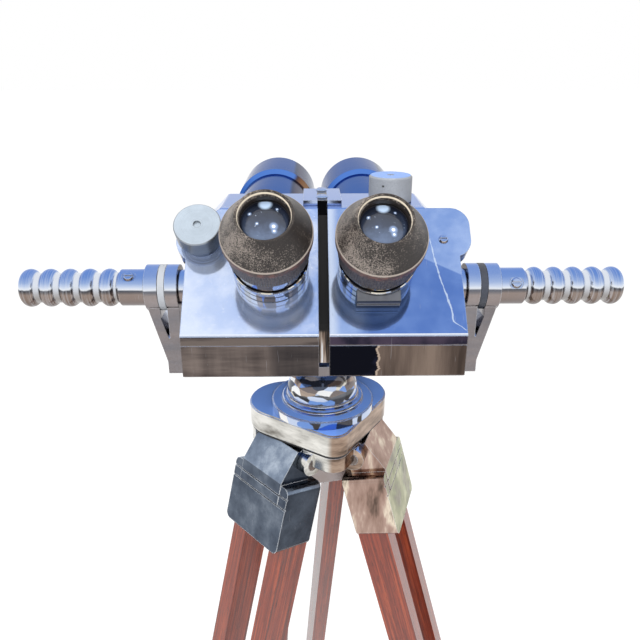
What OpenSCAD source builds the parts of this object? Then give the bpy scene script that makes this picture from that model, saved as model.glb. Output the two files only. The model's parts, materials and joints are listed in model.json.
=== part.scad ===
// Large observation binoculars with 45 degree eyepieces, in a U-yoke on a three-legged stand.
// Origin: on the ground, under the middle of the whole stand. +Y looks through the objectives.

/* [Prism housings] */
// Width over both housings
body_w = 190; // [184:1:210]
// Gap between the two housings
half_gap = 7; // [5:0.5:10]
// Distance from the elevation axis back to the upright rear wall
rear_y = 62.5; // [60:0.5:70]
// Distance from the elevation axis forward to the housings' front face
front_y = 60; // [58:1:75]
// Height of the flat top above the elevation axis
top_z = 57; // [54:0.5:64]
// Depth of the flat bottom under the elevation axis
bottom_z = 42.6; // [42:0.2:46]
// Drop of the slope's lower edge under the elevation axis
edge_drop = 12.3; // [9:0.1:16]
// Angle of the sloping eyepiece face
slope_a = 45; // [44:0.5:47]
// Wall thickness of the castings
wall = 5; // [4:0.5:6]
// Thickness of the sloping cover plates
cover_t = 5; // [4.5:0.25:6]
// Width of the bevel on the outer shoulder
shoulder = 22; // [16:1:26]
// Radius of the round ear on each cover
ear_r = 18; // [16:0.5:19]
// Distance of the ear's centre from the middle
ear_x = 84.5; // [82:0.5:88]
// Distance of the ear's centre up the slope
ear_s = 72; // [68:0.5:76]
// Depth of the ear's boss under the slope
ear_depth = 12; // [9:0.5:14]
// How much further out the squarer right ear stands
right_ear_shift = 5.5; // [4:0.5:7]
// Radius of the right ear's two corners
right_ear_r = 14; // [12:0.5:15]
// Distance between those two corners
right_ear_len = 12; // [9:0.5:13]

/* [Bridge] */
// Width of the plate that ties the halves on top
bridge_w = 28; // [22:1:34]
// Thickness of that plate
bridge_t = 4; // [3:0.5:6]
// Start of the bridge ahead of the elevation axis
bridge_y0 = 15; // [14.5:0.5:20]
// Diameter of the bridge screw heads
screw_head_d = 9; // [7:0.5:11]
// Diameter of the small screws' shanks
screw_d = 5; // [4:0.5:5.5]

/* [Objectives] */
// Distance between the two objective axes
objective_dist = 94; // [92:1:98]
// Clear opening of each objective
objective_d = 80; // [76:1:80]
// Outer diameter of the objective tubes
tube_d = 79; // [76:1:80]
// Outer diameter of the sunshades
shade_d = 87; // [86:0.5:89]
// Distance of the sunshades' front rim from the elevation axis
shade_y = 347; // [330:1:365]
// Length of the sunshades
shade_len = 72; // [60:1:90]
// Wall of the sunshades
shade_wall = 2; // [1.5:0.25:2.25]
// Wall of the objective tubes
tube_wall = 3; // [2.5:0.25:4]

/* [Eyepieces] */
// Distance between the eyes as photographed
eye_dist = 72; // [66:0.5:73]
// Distance of the eyepieces' axes up the slope
eye_s = 50; // [48:0.5:52]
// Distance of the swing pivots up the slope
pivot_s = 17.4; // [16.5:0.2:19]
// Height of the right eyecup's rim above the slope
eye_h = 64; // [62:0.5:68]
// How much further the left eyepiece is screwed out
left_out = 4.5; // [2:0.5:6]
// Outer diameter of the base collar
collar_d = 52; // [50:0.5:54]
// Height of the base collar
collar_h = 14; // [12:0.5:15]
// Outer diameter of the fixed eyepiece tube
eye_tube_d = 49; // [47:0.5:49.5]
// Outer diameter of the ribbed focus ring
ring_d = 54; // [53:0.5:56]
// Height of the focus ring
ring_h = 17; // [15:0.5:18]
// Outer diameter of the eyecup
cup_d = 58.6; // [57:0.2:59]
// Height of the eyecup's straight part
cup_h = 6; // [4:0.5:8]
// Height of the eyecup's cone
cup_cone_h = 20; // [18:0.5:22]
// Outer diameter of the eyecup's rim
rim_d = 36; // [35:0.5:40]
// Clear opening of the eyecup
lens_d = 30; // [27:0.5:31]
// Length of the scale block on the right collar
scale_w = 29; // [24:1:32]
// Outer diameter of the stems that pass through the covers
stem_d = 32; // [30:0.5:33]
// Furthest inward swing of an eyepiece in degrees
swing_in = 11; // [6:0.5:12]
// Furthest outward swing of an eyepiece in degrees
swing_out = 2; // [1:0.5:3]

/* [Knobs] */
// Diameter of the eye-distance knob
ipd_knob_d = 32; // [30:0.5:34]
// Height of its grip
ipd_knob_h = 14; // [11:0.5:16]
// Diameter of its neck
ipd_neck_d = 26; // [22:0.5:28]
// Height of its neck
ipd_neck_h = 8; // [6:0.5:10]
// Diameter of the filter knob
filter_d = 32; // [28:0.5:34]
// Height of the filter knob
filter_h = 19; // [15:0.5:22]
// Distance of the filter knob from the middle
filter_x = 51; // [48:0.5:54]
// Distance of the filter knob ahead of the elevation axis
filter_y = 32; // [31:0.5:36]
// Diameter of both knobs' shafts
knob_shaft_d = 10; // [8:0.5:11]

/* [Trunnions and handles] */
// Diameter of the trunnion shafts
shaft_d = 18; // [16:0.5:20]
// Diameter of the yoke's bearing rings and the washers
hub_d = 34; // [32:0.5:36]
// Diameter of the bosses on the housings
boss_d = 26; // [24:0.5:30]
// Clear space between the housings and the yoke
side_gap = 9.5; // [9:0.25:12]
// Width of the inner bearing ring
ring_in_w = 9.1; // [8:0.1:10]
// Thickness of the friction washer
washer_t = 5; // [4:0.5:6]
// Width of the outer bearing ring
ring_out_w = 10; // [8:0.5:12]
// Diameter of the handle sockets
socket_d = 27; // [25:0.5:29]
// Length of the handle sockets
socket_len = 20.5; // [18:0.5:24]
// Largest diameter of the ribbed grips
grip_d = 28; // [26:0.5:30]
// Diameter of the grips between the ribs
grip_neck_d = 22; // [20:0.5:23]
// Spacing of the ribs
rib_pitch = 14.4; // [13:0.1:16]
// Number of ribs on a grip
rib_count = 5; // [3:1:6]

/* [Yoke] */
// Top of the cross beam under the elevation axis
beam_top = 55; // [54.5:0.5:62]
// Thickness of the cross beam
beam_t = 10; // [9:0.5:13]
// Width of the beam and the arms
beam_w = 24; // [20:1:25]
// Width of the arms' foot
arm_foot = 12; // [10:0.5:13]

/* [Tripod head] */
// Turn of the stand under the binoculars, as photographed
stand_turn = 12; // [0:1:20]
// Height of the turned pedestal
pedestal_h = 34; // [32:0.5:38]
// Diameter of the pedestal's foot flange
pedestal_d = 80; // [78:1:84]
// Radius of the head plate's two rear lobes
lobe_r = 30; // [28:0.5:32]
// Sideways distance of the rear lobes from the middle
lobe_x = 26; // [24:0.5:28]
// Distance of the rear lobes ahead of the azimuth axis
lobe_y = 15; // [14:0.5:17]
// Radius of the front corner
nose_r = 13; // [10:0.5:15]
// Distance of the front corner's centre from the azimuth axis
nose_y = 36; // [34:0.5:38]
// Thickness of the head plate
head_t = 18; // [16:0.5:20]
// Thickness of the gasket
gasket_t = 2.5; // [2:0.25:3]
// Thickness of the leg plate
leg_plate_t = 12.5; // [12:0.5:15]
// Diameter of the azimuth spindle
spindle_d = 22; // [20:0.5:24]

/* [Legs] */
// Length of a closed leg from its hinge to the ground
leg_len = 1240; // [1200:5:1400]
// Angle of the open legs from upright
leg_spread = 15.5; // [15:0.5:17]
// Distance of the hinge lines from the azimuth axis
hinge_r = 30.5; // [30.5:0.25:31.5]
// Shift of the front legs' hinges away from the front corner
front_leg_shift = 9; // [8:0.5:10]
// Slope of the plate on top of each leg, from upright
leg_plate_slope = 40; // [36:1:44]
// Radius of the hinge knuckles
knuckle_r = 11.2; // [10:0.1:11.3]
// Width of the hinge knuckles
knuckle_w = 47; // [44:0.5:48]
// Diameter of the hinge bolts
bolt_d = 10; // [8:0.5:11]
// Thickness of the hinge lugs
lug_t = 8; // [7:0.5:10]
// Width of one wooden rail
rail_w = 15.5; // [14:0.5:15.5]
// Depth of the wooden rails and the slat
rail_t = 25; // [22:0.5:26]
// Width of the sliding slat
slat_w = 30; // [26:0.5:30]
// Distance from the rails' lower end to the ground, along a closed leg
rail_clear = 250; // [230:5:290]
// Length of the slat between the rails of a closed leg
slat_lap = 440; // [430:5:480]
// Length of the metal shoe
shoe_len = 150; // [130:5:170]
// Depth of the slat's end in the shoe
shoe_socket = 60; // [50:1:70]
// How far a leg pulls out
leg_pull = 380; // [300:10:400]
// Wall of the leg castings
leg_wall = 4; // [3:0.5:5]
// Thinner wall of the brackets where folded legs come close
bracket_wall = 1.5; // [1:0.25:1.5]
// Diameter of the foot pads
pad_d = 20; // [16:1:24]
// Height of the foot pads
pad_h = 10; // [8:0.5:12]

/* [Clearances] */
// Radial clearance of running fits
fit = 0.05; // [0.03:0.01:0.08]
// Space between sliding or turning faces
play = 0.3; // [0.2:0.05:0.5]

/* [Hidden] */
$fn = 96;

// Heights of the stand, counted down from the elevation axis
beam_bottom = beam_top + beam_t;
head_top = beam_bottom + pedestal_h;
gasket_top = head_top + head_t;
leg_plate_top = gasket_top + gasket_t;
leg_plate_bottom = leg_plate_top + leg_plate_t;
hinge_drop = leg_plate_top + knuckle_r + play;

// The head plate's outline is three round corners joined by tangents
rear_right = [lobe_x, lobe_y];
rear_left = [-lobe_x, lobe_y];
nose = [0, -nose_y];

// Direction of the outer normal of the tangent from corner a to corner b, going anticlockwise
function side_normal(a, ra, b, rb) =
    atan2(b.y - a.y, b.x - a.x) - 90 + asin((ra - rb) / norm(b - a));
function polar(r, a) = [r * cos(a), r * sin(a)];
// Straight sides lie this much inside the round corners that they join
seam = 0.02;

// The legs stand a third of a turn apart: rear, left, right, before the stand's own turn
leg_dirs = [90, 210, 330];
hinge_mids = [polar(hinge_r, leg_dirs[0]),
              polar(hinge_r, leg_dirs[1]) - polar(front_leg_shift, leg_dirs[1] + 90),
              polar(hinge_r, leg_dirs[2]) + polar(front_leg_shift, leg_dirs[2] + 90)];

// The stand's place: the box round its feet is centred on the origin
reach = leg_len * sin(leg_spread);
function turned(p, a) = [p.x * cos(a) - p.y * sin(a), p.x * sin(a) + p.y * cos(a)];
feet = [for (i = [0 : 2]) turned(hinge_mids[i] + polar(reach, leg_dirs[i]), stand_turn)];
function middle(v) = (min(v) + max(v)) / 2;
mast_x = -middle([for (p = feet) p.x]);
mast_y = -middle([for (p = feet) p.y]);
hinge_z = leg_len * cos(leg_spread);
axis_z = hinge_z + hinge_drop;

// Housings
half_in = half_gap / 2;
half_out = body_w / 2;
objective_x = objective_dist / 2;
slope_top_y = -rear_y + (top_z + edge_drop) / tan(slope_a);
slope_len = (top_z + edge_drop) / sin(slope_a);
spigot_d = tube_d - 2 * tube_wall + 2;
big = 400;

// Objectives, measured along +Y from the elevation axis
shade_y0 = shade_y - shade_len;
// The cell's spigot enters a recess behind the sunshade's mouth
shade_recess = 0.5;
cell_d = shade_d - 2 * (shade_wall - shade_recess) - 2 * fit;
lens_edge = 7;
lens_y = shade_y0 - lens_edge - 4;
cell_len = 22;
cell_end = shade_y0 + 8;

// Eyepieces, measured up from the slope
arm_r = norm([objective_x - eye_dist / 2, eye_s - pivot_s]);
arm_a = atan2(eye_s - pivot_s, eye_dist / 2 - objective_x);
carrier_t = 8;
hub_r = 14;
// The hub ends this far under the cover's outside
hub_roof = 2;
prism_a = 23;
ring_z = eye_h - cup_cone_h - cup_h - ring_h;
cup_z = ring_z + ring_h;
eye_tube_top = ring_z + ring_h - 6;
cell_in_d = lens_d + 6;

// Yoke and handles, measured outward from the middle
ring_x0 = half_out + side_gap;
washer_x0 = ring_x0 + ring_in_w;
ring_x2 = washer_x0 + washer_t;
socket_x0 = ring_x2 + ring_out_w;
grip_x0 = socket_x0 + socket_len;

// The pedestal's spigot in the yoke
spigot_r = 14;
spigot_h = 5;

// Legs, measured down from the hinge
bracket_neck = 34;
bracket_neck_t = 18;
bracket_slope = 27;
bracket_block = 38;
rails_w = slat_w + 2 * play + 2 * rail_w;
rail_mid = (rails_w - rail_w) / 2;
// Depth of the bracket's block over the rails' ends
rail_roof = 8;
rail_end = leg_len - rail_clear;
slat_top = rail_end - slat_lap;
shoe_top = leg_len - shoe_len;
leg_collar_h = 40;
clamp_boss_d = 18;
clamp_boss_h = 8;

module at_axis() { translate([mast_x, mast_y, axis_z]) children(); }
module at_mast(z) { translate([mast_x, mast_y, axis_z - z]) children(); }
module at_stand(z) { at_mast(z) rotate([0, 0, stand_turn]) children(); }
module at_slope() { translate([0, -rear_y, -edge_drop]) rotate([slope_a, 0, 0]) children(); }
module along_x(x) { translate([x, 0, 0]) rotate([0, 90, 0]) children(); }
module along_y(y) { translate([0, y, 0]) rotate([-90, 0, 0]) children(); }
// Frame of leg i's hinge: +X outward, Y along the hinge line
module at_hinge(i)
{
    at_stand(hinge_drop) translate([hinge_mids[i].x, hinge_mids[i].y, 0])
        rotate([0, 0, leg_dirs[i]]) children();
}
module at_leg(i) { at_hinge(i) rotate([0, -leg_spread, 0]) children(); }
module half(side) { if (side < 0) mirror([1, 0, 0]) children(); else children(); }

// Outline with every corner cut back by c
module cut_corners(points, c)
{
    n = len(points);
    polygon([for (i = [0 : n - 1])
        let (p = points[i], a = points[(i + n - 1) % n], b = points[(i + 1) % n])
            each [p + c * (a - p) / norm(a - p), p + c * (b - p) / norm(b - p)]]);
}

// Two round ends joined by straight tangents
module link(a, ra, b, rb)
{
    n1 = side_normal(a, ra, b, rb);
    n2 = side_normal(b, rb, a, ra);
    qa = ra - seam;
    qb = rb - seam;
    polygon([a + polar(qa, n1), b + polar(qb, n1), b + polar(qb, n2), a + polar(qa, n2)]);
    translate(a) circle(ra);
    translate(b) circle(rb);
}

// Outline of the head plate, drawn in by e
module head_outline(e = 0)
{
    corners = [[rear_right, lobe_r - e], [rear_left, lobe_r - e], [nose, nose_r - e]];
    polygon([for (i = [0 : 2]) let (p = corners[i], q = corners[(i + 1) % 3],
        n = side_normal(p[0], p[1], q[0], q[1]))
            each [p[0] + polar(p[1] - seam, n), q[0] + polar(q[1] - seam, n)]]);
    for (c = corners) translate(c[0]) circle(c[1]);
}

// Side view of a housing's outside, or of its inside when drawn in by e
module side_view(e, c)
{
    front = front_y - e;
    rear = rear_y - e;
    top = top_z - e;
    corner_z = tan(slope_a) * e - edge_drop;
    corner_y = slope_top_y - e / tan(slope_a);
    cut_corners([[-rear, -bottom_z + e], [front, -bottom_z + e], [front, top],
                 [corner_y, top], [-rear, corner_z]], c);
}
module end_view(e, c)
{
    outer = half_out - e;
    inner = half_in + e;
    // Keeps the wall even along the bevelled shoulder
    bevel = shoulder + e * tan(22.5);
    cut_corners([[inner, -bottom_z + e], [outer, -bottom_z + e], [outer, top_z - bevel],
                 [half_out - bevel, top_z - e], [inner, top_z - e]], c);
}
module wedge(e, c, wide = false)
{
    intersection() {
        rotate([90, 0, 90]) linear_extrude(big) side_view(e, c);
        if (!wide) translate([0, big / 2, 0]) rotate([90, 0, 0]) linear_extrude(big) end_view(e, c);
    }
}

// Head of the stand
module head_plate()
{
    color("silver") at_stand(gasket_top) difference() {
        union() {
            linear_extrude(head_t - 1.2) head_outline();
            translate([0, 0, head_t - 1.2]) linear_extrude(1.2) head_outline(0.8);
        }
        translate([0, 0, -1]) cylinder(d = spindle_d, h = head_t + 2);
    }
}
module head_gasket()
{
    color("black") at_stand(leg_plate_top) difference() {
        linear_extrude(gasket_t) head_outline(1.2);
        translate([0, 0, -1]) cylinder(d = spindle_d, h = gasket_t + 2);
    }
}
// Pin along the hinge line of leg i, with one end drawn out past the lug on its open side
module hinge_pin(i, extra)
{
    open_side = i == 1 ? -1 : 1;
    span = knuckle_w + 2 * play + 2 * lug_t;
    at_hinge(i) translate([0, open_side * extra / 2, 0]) rotate([90, 0, 0])
        cylinder(d = bolt_d, h = span + extra, center = true);
}
module leg_plate()
{
    slot_w = knuckle_w + 2 * play;
    slot_in = knuckle_r + 1;
    lug_r = bolt_d / 2 + 4.5;
    color("silver") difference() {
        union() {
            at_stand(leg_plate_bottom) linear_extrude(leg_plate_t) head_outline(1.2);
            for (i = [0 : 2]) at_hinge(i) rotate([90, 0, 0])
                cylinder(r = lug_r, h = slot_w + 2 * lug_t, center = true);
        }
        for (i = [0 : 2]) at_hinge(i)
            translate([-slot_in, -slot_w / 2, -big / 4]) cube([big, slot_w, big]);
        for (i = [0 : 2]) hinge_pin(i, 2 * lobe_r);
        at_mast(leg_plate_bottom + 1) cylinder(d = spindle_d, h = leg_plate_t + 2);
    }
}
module azimuth_spindle()
{
    nut_h = 10;
    color("dimgray") {
        at_mast(leg_plate_bottom) cylinder(d = spindle_d, h = leg_plate_bottom - beam_bottom - 4);
        at_stand(leg_plate_bottom + nut_h) cylinder(d = spindle_d + 6, h = nut_h, $fn = 6);
    }
}
module leg_bolts() { color("dimgray") for (i = [0 : 2]) hinge_pin(i, 0); }

// Azimuth head
module pedestal()
{
    flange_r = pedestal_d / 2;
    flange_h = 7;
    // The turned steps above the flange: radius, height and the radius of the bead on the edge
    steps = [[flange_r - 8, 10, 1.6], [flange_r - 11.5, 13.4, 1.6]];
    dome_r = 20;
    dome = [flange_r - 32.5, 14];
    dome_rise = 1.15;
    color("gainsboro") at_mast(head_top) rotate_extrude() difference() {
        union() {
            square([flange_r - 0.8, flange_h]);
            square([flange_r, flange_h - 0.8]);
            for (s = steps) {
                square([s[0] - s[2], s[1]]);
                translate([s[0] - s[2], s[1] - s[2]]) circle(r = s[2]);
                square([s[0], s[1] - s[2]]);
            }
            intersection() {
                translate(dome) scale([1, dome_rise]) circle(r = dome_r);
                square([big, pedestal_h]);
            }
            square([dome.x + dome_r / 2, pedestal_h]);
            square([spigot_r, pedestal_h + spigot_h]);
        }
        translate([-big, -1]) square([big + spindle_d / 2 + fit, pedestal_h + 2]);
        translate([-big, -1]) square([big, big]);
        translate([0, -1]) square([big, 1 + fit]);
    }
}
module yoke_arm()
{
    strut_top = hub_d / 4;
    difference() {
        union() {
            translate([0, beam_w / 2, 0]) rotate([90, 0, 0]) linear_extrude(beam_w)
                polygon([[ring_x0, -strut_top], [ring_x0, -beam_bottom], [ring_x0 + arm_foot, -beam_bottom],
                         [ring_x0 + arm_foot, -beam_top], [socket_x0 - play, -strut_top]]);
            along_x(ring_x0) cylinder(d = hub_d, h = ring_in_w - play);
            along_x(ring_x2) cylinder(d = hub_d, h = ring_out_w - play);
        }
        translate([0, beam_w, 0]) rotate([90, 0, 0]) linear_extrude(2 * beam_w)
            polygon([[washer_x0 - play, hub_d], [ring_x2, hub_d], [ring_x2, -hub_d / 2 - 3],
                     [washer_x0 + 0.6, -beam_top * 0.65], [washer_x0 - play, -beam_top * 0.65]]);
        along_x(ring_x0 - 1) cylinder(r = shaft_d / 2 + fit, h = big / 4);
    }
}
module yoke()
{
    color("silver") at_axis() difference() {
        union() {
            for (s = [-1, 1]) half(s) yoke_arm();
            translate([-ring_x0 - 1, -beam_w / 2, -beam_bottom]) cube([2 * ring_x0 + 2, beam_w, beam_t]);
            translate([0, 0, -beam_bottom]) cylinder(r = spigot_r + 5, h = beam_t - 2);
        }
        translate([0, 0, -beam_bottom - 1]) cylinder(r = spigot_r, h = spigot_h + 1.2);
    }
}

// Binocular body
module ear_place() { translate([ear_x, ear_s, 0]) children(); }
// The left ear is round under its knob, and the right one fills the corner of its cover
module ear_outline(side)
{
    low = [ear_x + right_ear_shift, ear_s];
    high = low + [0, right_ear_len];
    inner_x = half_out - shoulder - 1;
    if (side < 0) ear_place() circle(ear_r);
    else {
        link(low, right_ear_r, high, right_ear_r);
        top = high.y + right_ear_r;
        polygon([[inner_x, ear_s], low, high, [high.x, top], [inner_x, top]]);
    }
}
module cover_outline(side)
{
    shoulder_x = half_out - shoulder;
    past_top = slope_len + 2 * cover_t;
    polygon([[half_in, -2 * cover_t], [half_out, -2 * cover_t], [half_out, ear_s], [ear_x, ear_s + ear_r],
             [shoulder_x, slope_len], [shoulder_x, past_top], [half_in, past_top]]);
    ear_outline(side);
}
module ear_boss(side)
{
    at_slope() translate([0, 0, -ear_depth]) linear_extrude(ear_depth) ear_outline(side);
}
module prism_housing(side)
{
    at_axis() half(side) difference() {
        union() {
            wedge(0, 0.8);
            ear_boss(side);
        }
        difference() {
            wedge(wall, 1);
            ear_boss(side);
        }
        at_slope() translate([-1, -big / 2, -cover_t]) cube([big, big, big / 4]);
        translate([objective_x, 0, 0]) along_y(front_y - 2 * wall)
            cylinder(r = spigot_d / 2 + fit, h = 3 * wall);
        if (side < 0) at_slope() ear_place() translate([0, 0, -ear_depth - 1])
            cylinder(r = knob_shaft_d / 2 + fit, h = ear_depth + 2);
        if (side > 0) {
            translate([filter_x, filter_y, 0]) cylinder(r = knob_shaft_d / 2 + fit, h = big / 4);
            at_slope() ear_place() translate([0, 0, -8]) cylinder(d = screw_d, h = 9);
        }
        along_x(half_out - 2 * wall) cylinder(d = shaft_d, h = 3 * wall);
    }
}
module left_prism_housing() { color("lightsteelblue") prism_housing(-1); }
module right_prism_housing() { color("lightsteelblue") prism_housing(1); }

// Curved slot that the stem sweeps through, about the swing pivot
module swing_slot(r)
{
    a0 = arm_a - swing_out - 0.5;
    a1 = arm_a + swing_in + 0.5;
    steps = 12;
    turn = 180 / steps;
    sweep = (a1 - a0) / steps;
    translate([objective_x, pivot_s])
        polygon([for (i = [0 : steps]) polar(arm_r + r, a0 + sweep * i),
                 for (i = [1 : steps - 1]) polar(arm_r, a1) + polar(r, a1 + turn * i),
                 for (i = [0 : steps]) polar(arm_r - r, a1 - sweep * i),
                 for (i = [1 : steps - 1]) polar(arm_r, a0) + polar(r, a0 + 180 + turn * i)]);
}
module prism_cover(side)
{
    at_axis() half(side) difference() {
        intersection() {
            at_slope() translate([0, 0, -cover_t]) linear_extrude(cover_t) cover_outline(side);
            wedge(0, 0.8, true);
        }
        at_slope() {
            translate([0, 0, -cover_t - 1]) linear_extrude(cover_t + 2) swing_slot(stem_d / 2 + play);
            translate([objective_x, pivot_s, -cover_t - 1])
                cylinder(r = hub_r + fit, h = cover_t - hub_roof + 1 + play);
            if (side < 0) ear_place() translate([0, 0, -cover_t - 1])
                cylinder(r = knob_shaft_d / 2 + fit, h = cover_t + 2);
            if (side > 0) ear_place() translate([0, 0, -cover_t - 1])
                cylinder(d = screw_d, h = cover_t + 2);
        }
    }
}
module left_prism_cover() { color("lightblue") prism_cover(-1); }
module right_prism_cover() { color("lightblue") prism_cover(1); }

module bridge_screw_places()
{
    for (f = [0.25, 0.85])
        translate([0, bridge_y0 + f * (front_y - 1 - bridge_y0), top_z + bridge_t]) children();
}
module bridge_casting()
{
    len_y = front_y - 1 - bridge_y0;
    color("lightsteelblue") at_axis() difference() {
        union() {
            translate([-half_in, bridge_y0, -bottom_z]) cube([half_gap, len_y, bottom_z + top_z]);
            translate([0, bridge_y0 + len_y / 2, top_z]) linear_extrude(bridge_t)
                square([bridge_w, len_y], center = true);
        }
        bridge_screw_places() translate([0, 0, -12]) cylinder(d = screw_d, h = 13);
    }
}
// Slotted screw with its head standing on z = 0
module slotted_screw(head_d, shank_d, len)
{
    difference() {
        union() {
            cylinder(d1 = head_d, d2 = head_d - 2, h = 1.6);
            translate([0, 0, -len]) cylinder(d = shank_d, h = len + 0.1);
        }
        translate([-head_d, -0.6, 0.7]) cube([2 * head_d, 1.2, 2]);
    }
}
// Places of the screws that hold the handle sockets: side, angle above the rear horizon
module socket_screw_places()
{
    for (p = [[-1, 55], [1, 28]])
        translate([p[0] * (socket_x0 + socket_len * 0.55), 0, 0])
            rotate([90 - p[1], 0, 0]) translate([0, 0, socket_d / 2]) children();
}
module body_screws()
{
    color("gainsboro") at_axis() {
        bridge_screw_places() slotted_screw(screw_head_d, screw_d, 12);
        at_slope() ear_place() slotted_screw(screw_head_d - 2, screw_d, 7);
        socket_screw_places() translate([0, 0, -0.6]) slotted_screw(screw_head_d - 1, screw_d, 3.5);
    }
}
module objective_tube(side)
{
    r = tube_d / 2;
    cell_r = cell_d / 2;
    bore_r = r - tube_wall;
    seat_r = objective_d / 2 + 1;
    neck_y = shade_y0 - cell_len;
    at_axis() translate([side * objective_x, 0, 0]) along_y(0) rotate_extrude()
        polygon([[bore_r - 1, front_y - wall], [spigot_d / 2, front_y - wall], [spigot_d / 2, front_y],
                 [r + 2.5, front_y], [r + 2.5, front_y + 5], [r, front_y + 7], [r, neck_y],
                 [shade_d / 2, neck_y + 8], [shade_d / 2, shade_y0], [cell_r, shade_y0],
                 [cell_r, cell_end], [seat_r, cell_end], [seat_r, lens_y - 0.5],
                 [bore_r, lens_y - 0.5], [bore_r - 1, front_y + 10]]);
}
module left_objective_tube() { color("silver") objective_tube(-1); }
module right_objective_tube() { color("silver") objective_tube(1); }
module sunshade(side)
{
    r = shade_d / 2;
    recess_r = cell_d / 2 + fit;
    at_axis() translate([side * objective_x, 0, 0]) along_y(0) rotate_extrude()
        polygon([[recess_r, shade_y0 + 0.2], [r, shade_y0 + 0.2], [r, shade_y - 1], [r - 1, shade_y],
                 [r - shade_wall, shade_y], [r - shade_wall, cell_end], [recess_r, cell_end]]);
}
module left_sunshade() { color("silver") sunshade(-1); }
module right_sunshade() { color("silver") sunshade(1); }
// Lens turned about Z in flat rings: edge thickness t, faces bulging by up and down
function sag(r, bulge, x) = let (q = (r * r + bulge * bulge) / (2 * bulge)) q - sqrt(q * q - x * x);
module lens(r, t, up, down)
{
    steps = 8;
    rotate_extrude() polygon([
        [0, sag(r, down, r / steps) - down],
        for (i = [1 : steps]) let (x = r * i / steps) [x, sag(r, down, x) - down],
        for (i = [0 : steps - 1]) let (x = r - r * i / steps) [x, t + up - sag(r, up, x)],
        [0, t + up - sag(r, up, r / steps)]]);
}
module objective_lenses()
{
    color("steelblue", 0.5) at_axis() for (s = [-1, 1])
        translate([s * objective_x, 0, 0]) along_y(lens_y)
            lens(objective_d / 2 + 1 - fit, lens_edge, 3, 0.5);
}
module trunnions()
{
    color("gray") at_axis() for (s = [-1, 1]) half(s) {
        along_x(half_out - wall) cylinder(d = shaft_d, h = grip_x0 - half_out + wall - 2);
        along_x(half_out) cylinder(d = boss_d, h = side_gap - play);
    }
}
module friction_washers()
{
    color("black") at_axis() for (s = [-1, 1]) half(s) difference() {
        along_x(washer_x0) cylinder(d = hub_d, h = washer_t - play);
        along_x(washer_x0 - 1) cylinder(d = shaft_d, h = washer_t + 2);
    }
}
module handle_socket(side)
{
    at_axis() difference() {
        half(side) difference() {
            along_x(0) rotate_extrude()
                polygon([[0, socket_x0], [socket_d / 2 - 0.6, socket_x0], [socket_d / 2, socket_x0 + 0.6],
                         [socket_d / 2, grip_x0 - 2], [socket_d / 2 - 2, grip_x0], [0, grip_x0]]);
            along_x(socket_x0 - 1) cylinder(d = shaft_d, h = socket_len - 1);
        }
        socket_screw_places() translate([0, 0, -0.6]) {
            cylinder(d = screw_head_d + 1, h = 5);
            translate([0, 0, -4]) cylinder(d = screw_d, h = 5);
        }
    }
}
module left_handle_socket() { color("silver") handle_socket(-1); }
module right_handle_socket() { color("silver") handle_socket(1); }
module grip(side)
{
    rib_r = rib_pitch / 2 * 0.86;
    grip_len = rib_pitch * rib_count;
    at_axis() half(side) along_x(grip_x0) rotate_extrude() {
        square([grip_neck_d / 2, grip_len - 3]);
        for (i = [0 : rib_count - 1]) translate([0, rib_pitch * (i + 0.5)])
            intersection() {
                translate([grip_d / 2 - rib_r, 0]) circle(rib_r);
                translate([0, -rib_pitch / 2]) square([grip_d, rib_pitch]);
            }
    }
}
module left_grip() { color("gainsboro") grip(-1); }
module right_grip() { color("gainsboro") grip(1); }
module erecting_prisms()
{
    w = 52;
    floor_z = -bottom_z + wall;
    // The exit face lies parallel to the slope, under the swinging prisms
    depth = cover_t + carrier_t + prism_a + 2;
    line_y = depth / sin(slope_a) - rear_y + edge_drop;
    top = 30;
    front = front_y - wall - 1;
    color("lightcyan", 0.5) at_axis() for (s = [-1, 1]) half(s)
        translate([objective_x - w / 2, 0, 0]) rotate([90, 0, 90]) linear_extrude(w)
            polygon([[line_y + floor_z / tan(slope_a), floor_z], [front, floor_z], [front, top],
                     [line_y + top / tan(slope_a), top]]);
}

// Eyepieces: the swinging part of each stands on a carrier under the cover
module at_eye(side) { at_axis() at_slope() half(side) translate([eye_dist / 2, eye_s, 0]) children(); }
module prism_carrier(side)
{
    slope_h = cover_t + play + carrier_t;
    under = -slope_h;
    at_axis() at_slope() half(side) difference() {
        union() {
            translate([0, 0, under]) linear_extrude(carrier_t)
                link([objective_x, pivot_s], hub_r + 1, [eye_dist / 2, eye_s], stem_d / 2 + 5);
            translate([objective_x, pivot_s, under]) cylinder(r = hub_r, h = slope_h - hub_roof);
            translate([eye_dist / 2, eye_s, under]) cylinder(d = stem_d, h = slope_h + 9);
        }
        translate([objective_x, pivot_s, under - 1]) cylinder(r = hub_r - 3, h = carrier_t + cover_t + 2);
        translate([eye_dist / 2, eye_s, under - 1]) cylinder(d = stem_d - 7, h = carrier_t + cover_t + 12);
    }
}
module left_prism_carrier() { color("tan") prism_carrier(-1); }
module right_prism_carrier() { color("tan") prism_carrier(1); }
module rhomboid_prism(side)
{
    a = prism_a / 2;
    at_axis() at_slope() half(side) translate([objective_x, pivot_s, -cover_t - carrier_t - play])
        rotate([90, 0, arm_a]) linear_extrude(prism_a, center = true)
            polygon([[-a, -prism_a], [arm_r - a, -prism_a], [arm_r + a, 0], [a, 0]]);
}
module left_rhomboid_prism() { color("lightcyan", 0.5) rhomboid_prism(-1); }
module right_rhomboid_prism() { color("lightcyan", 0.5) rhomboid_prism(1); }
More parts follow.
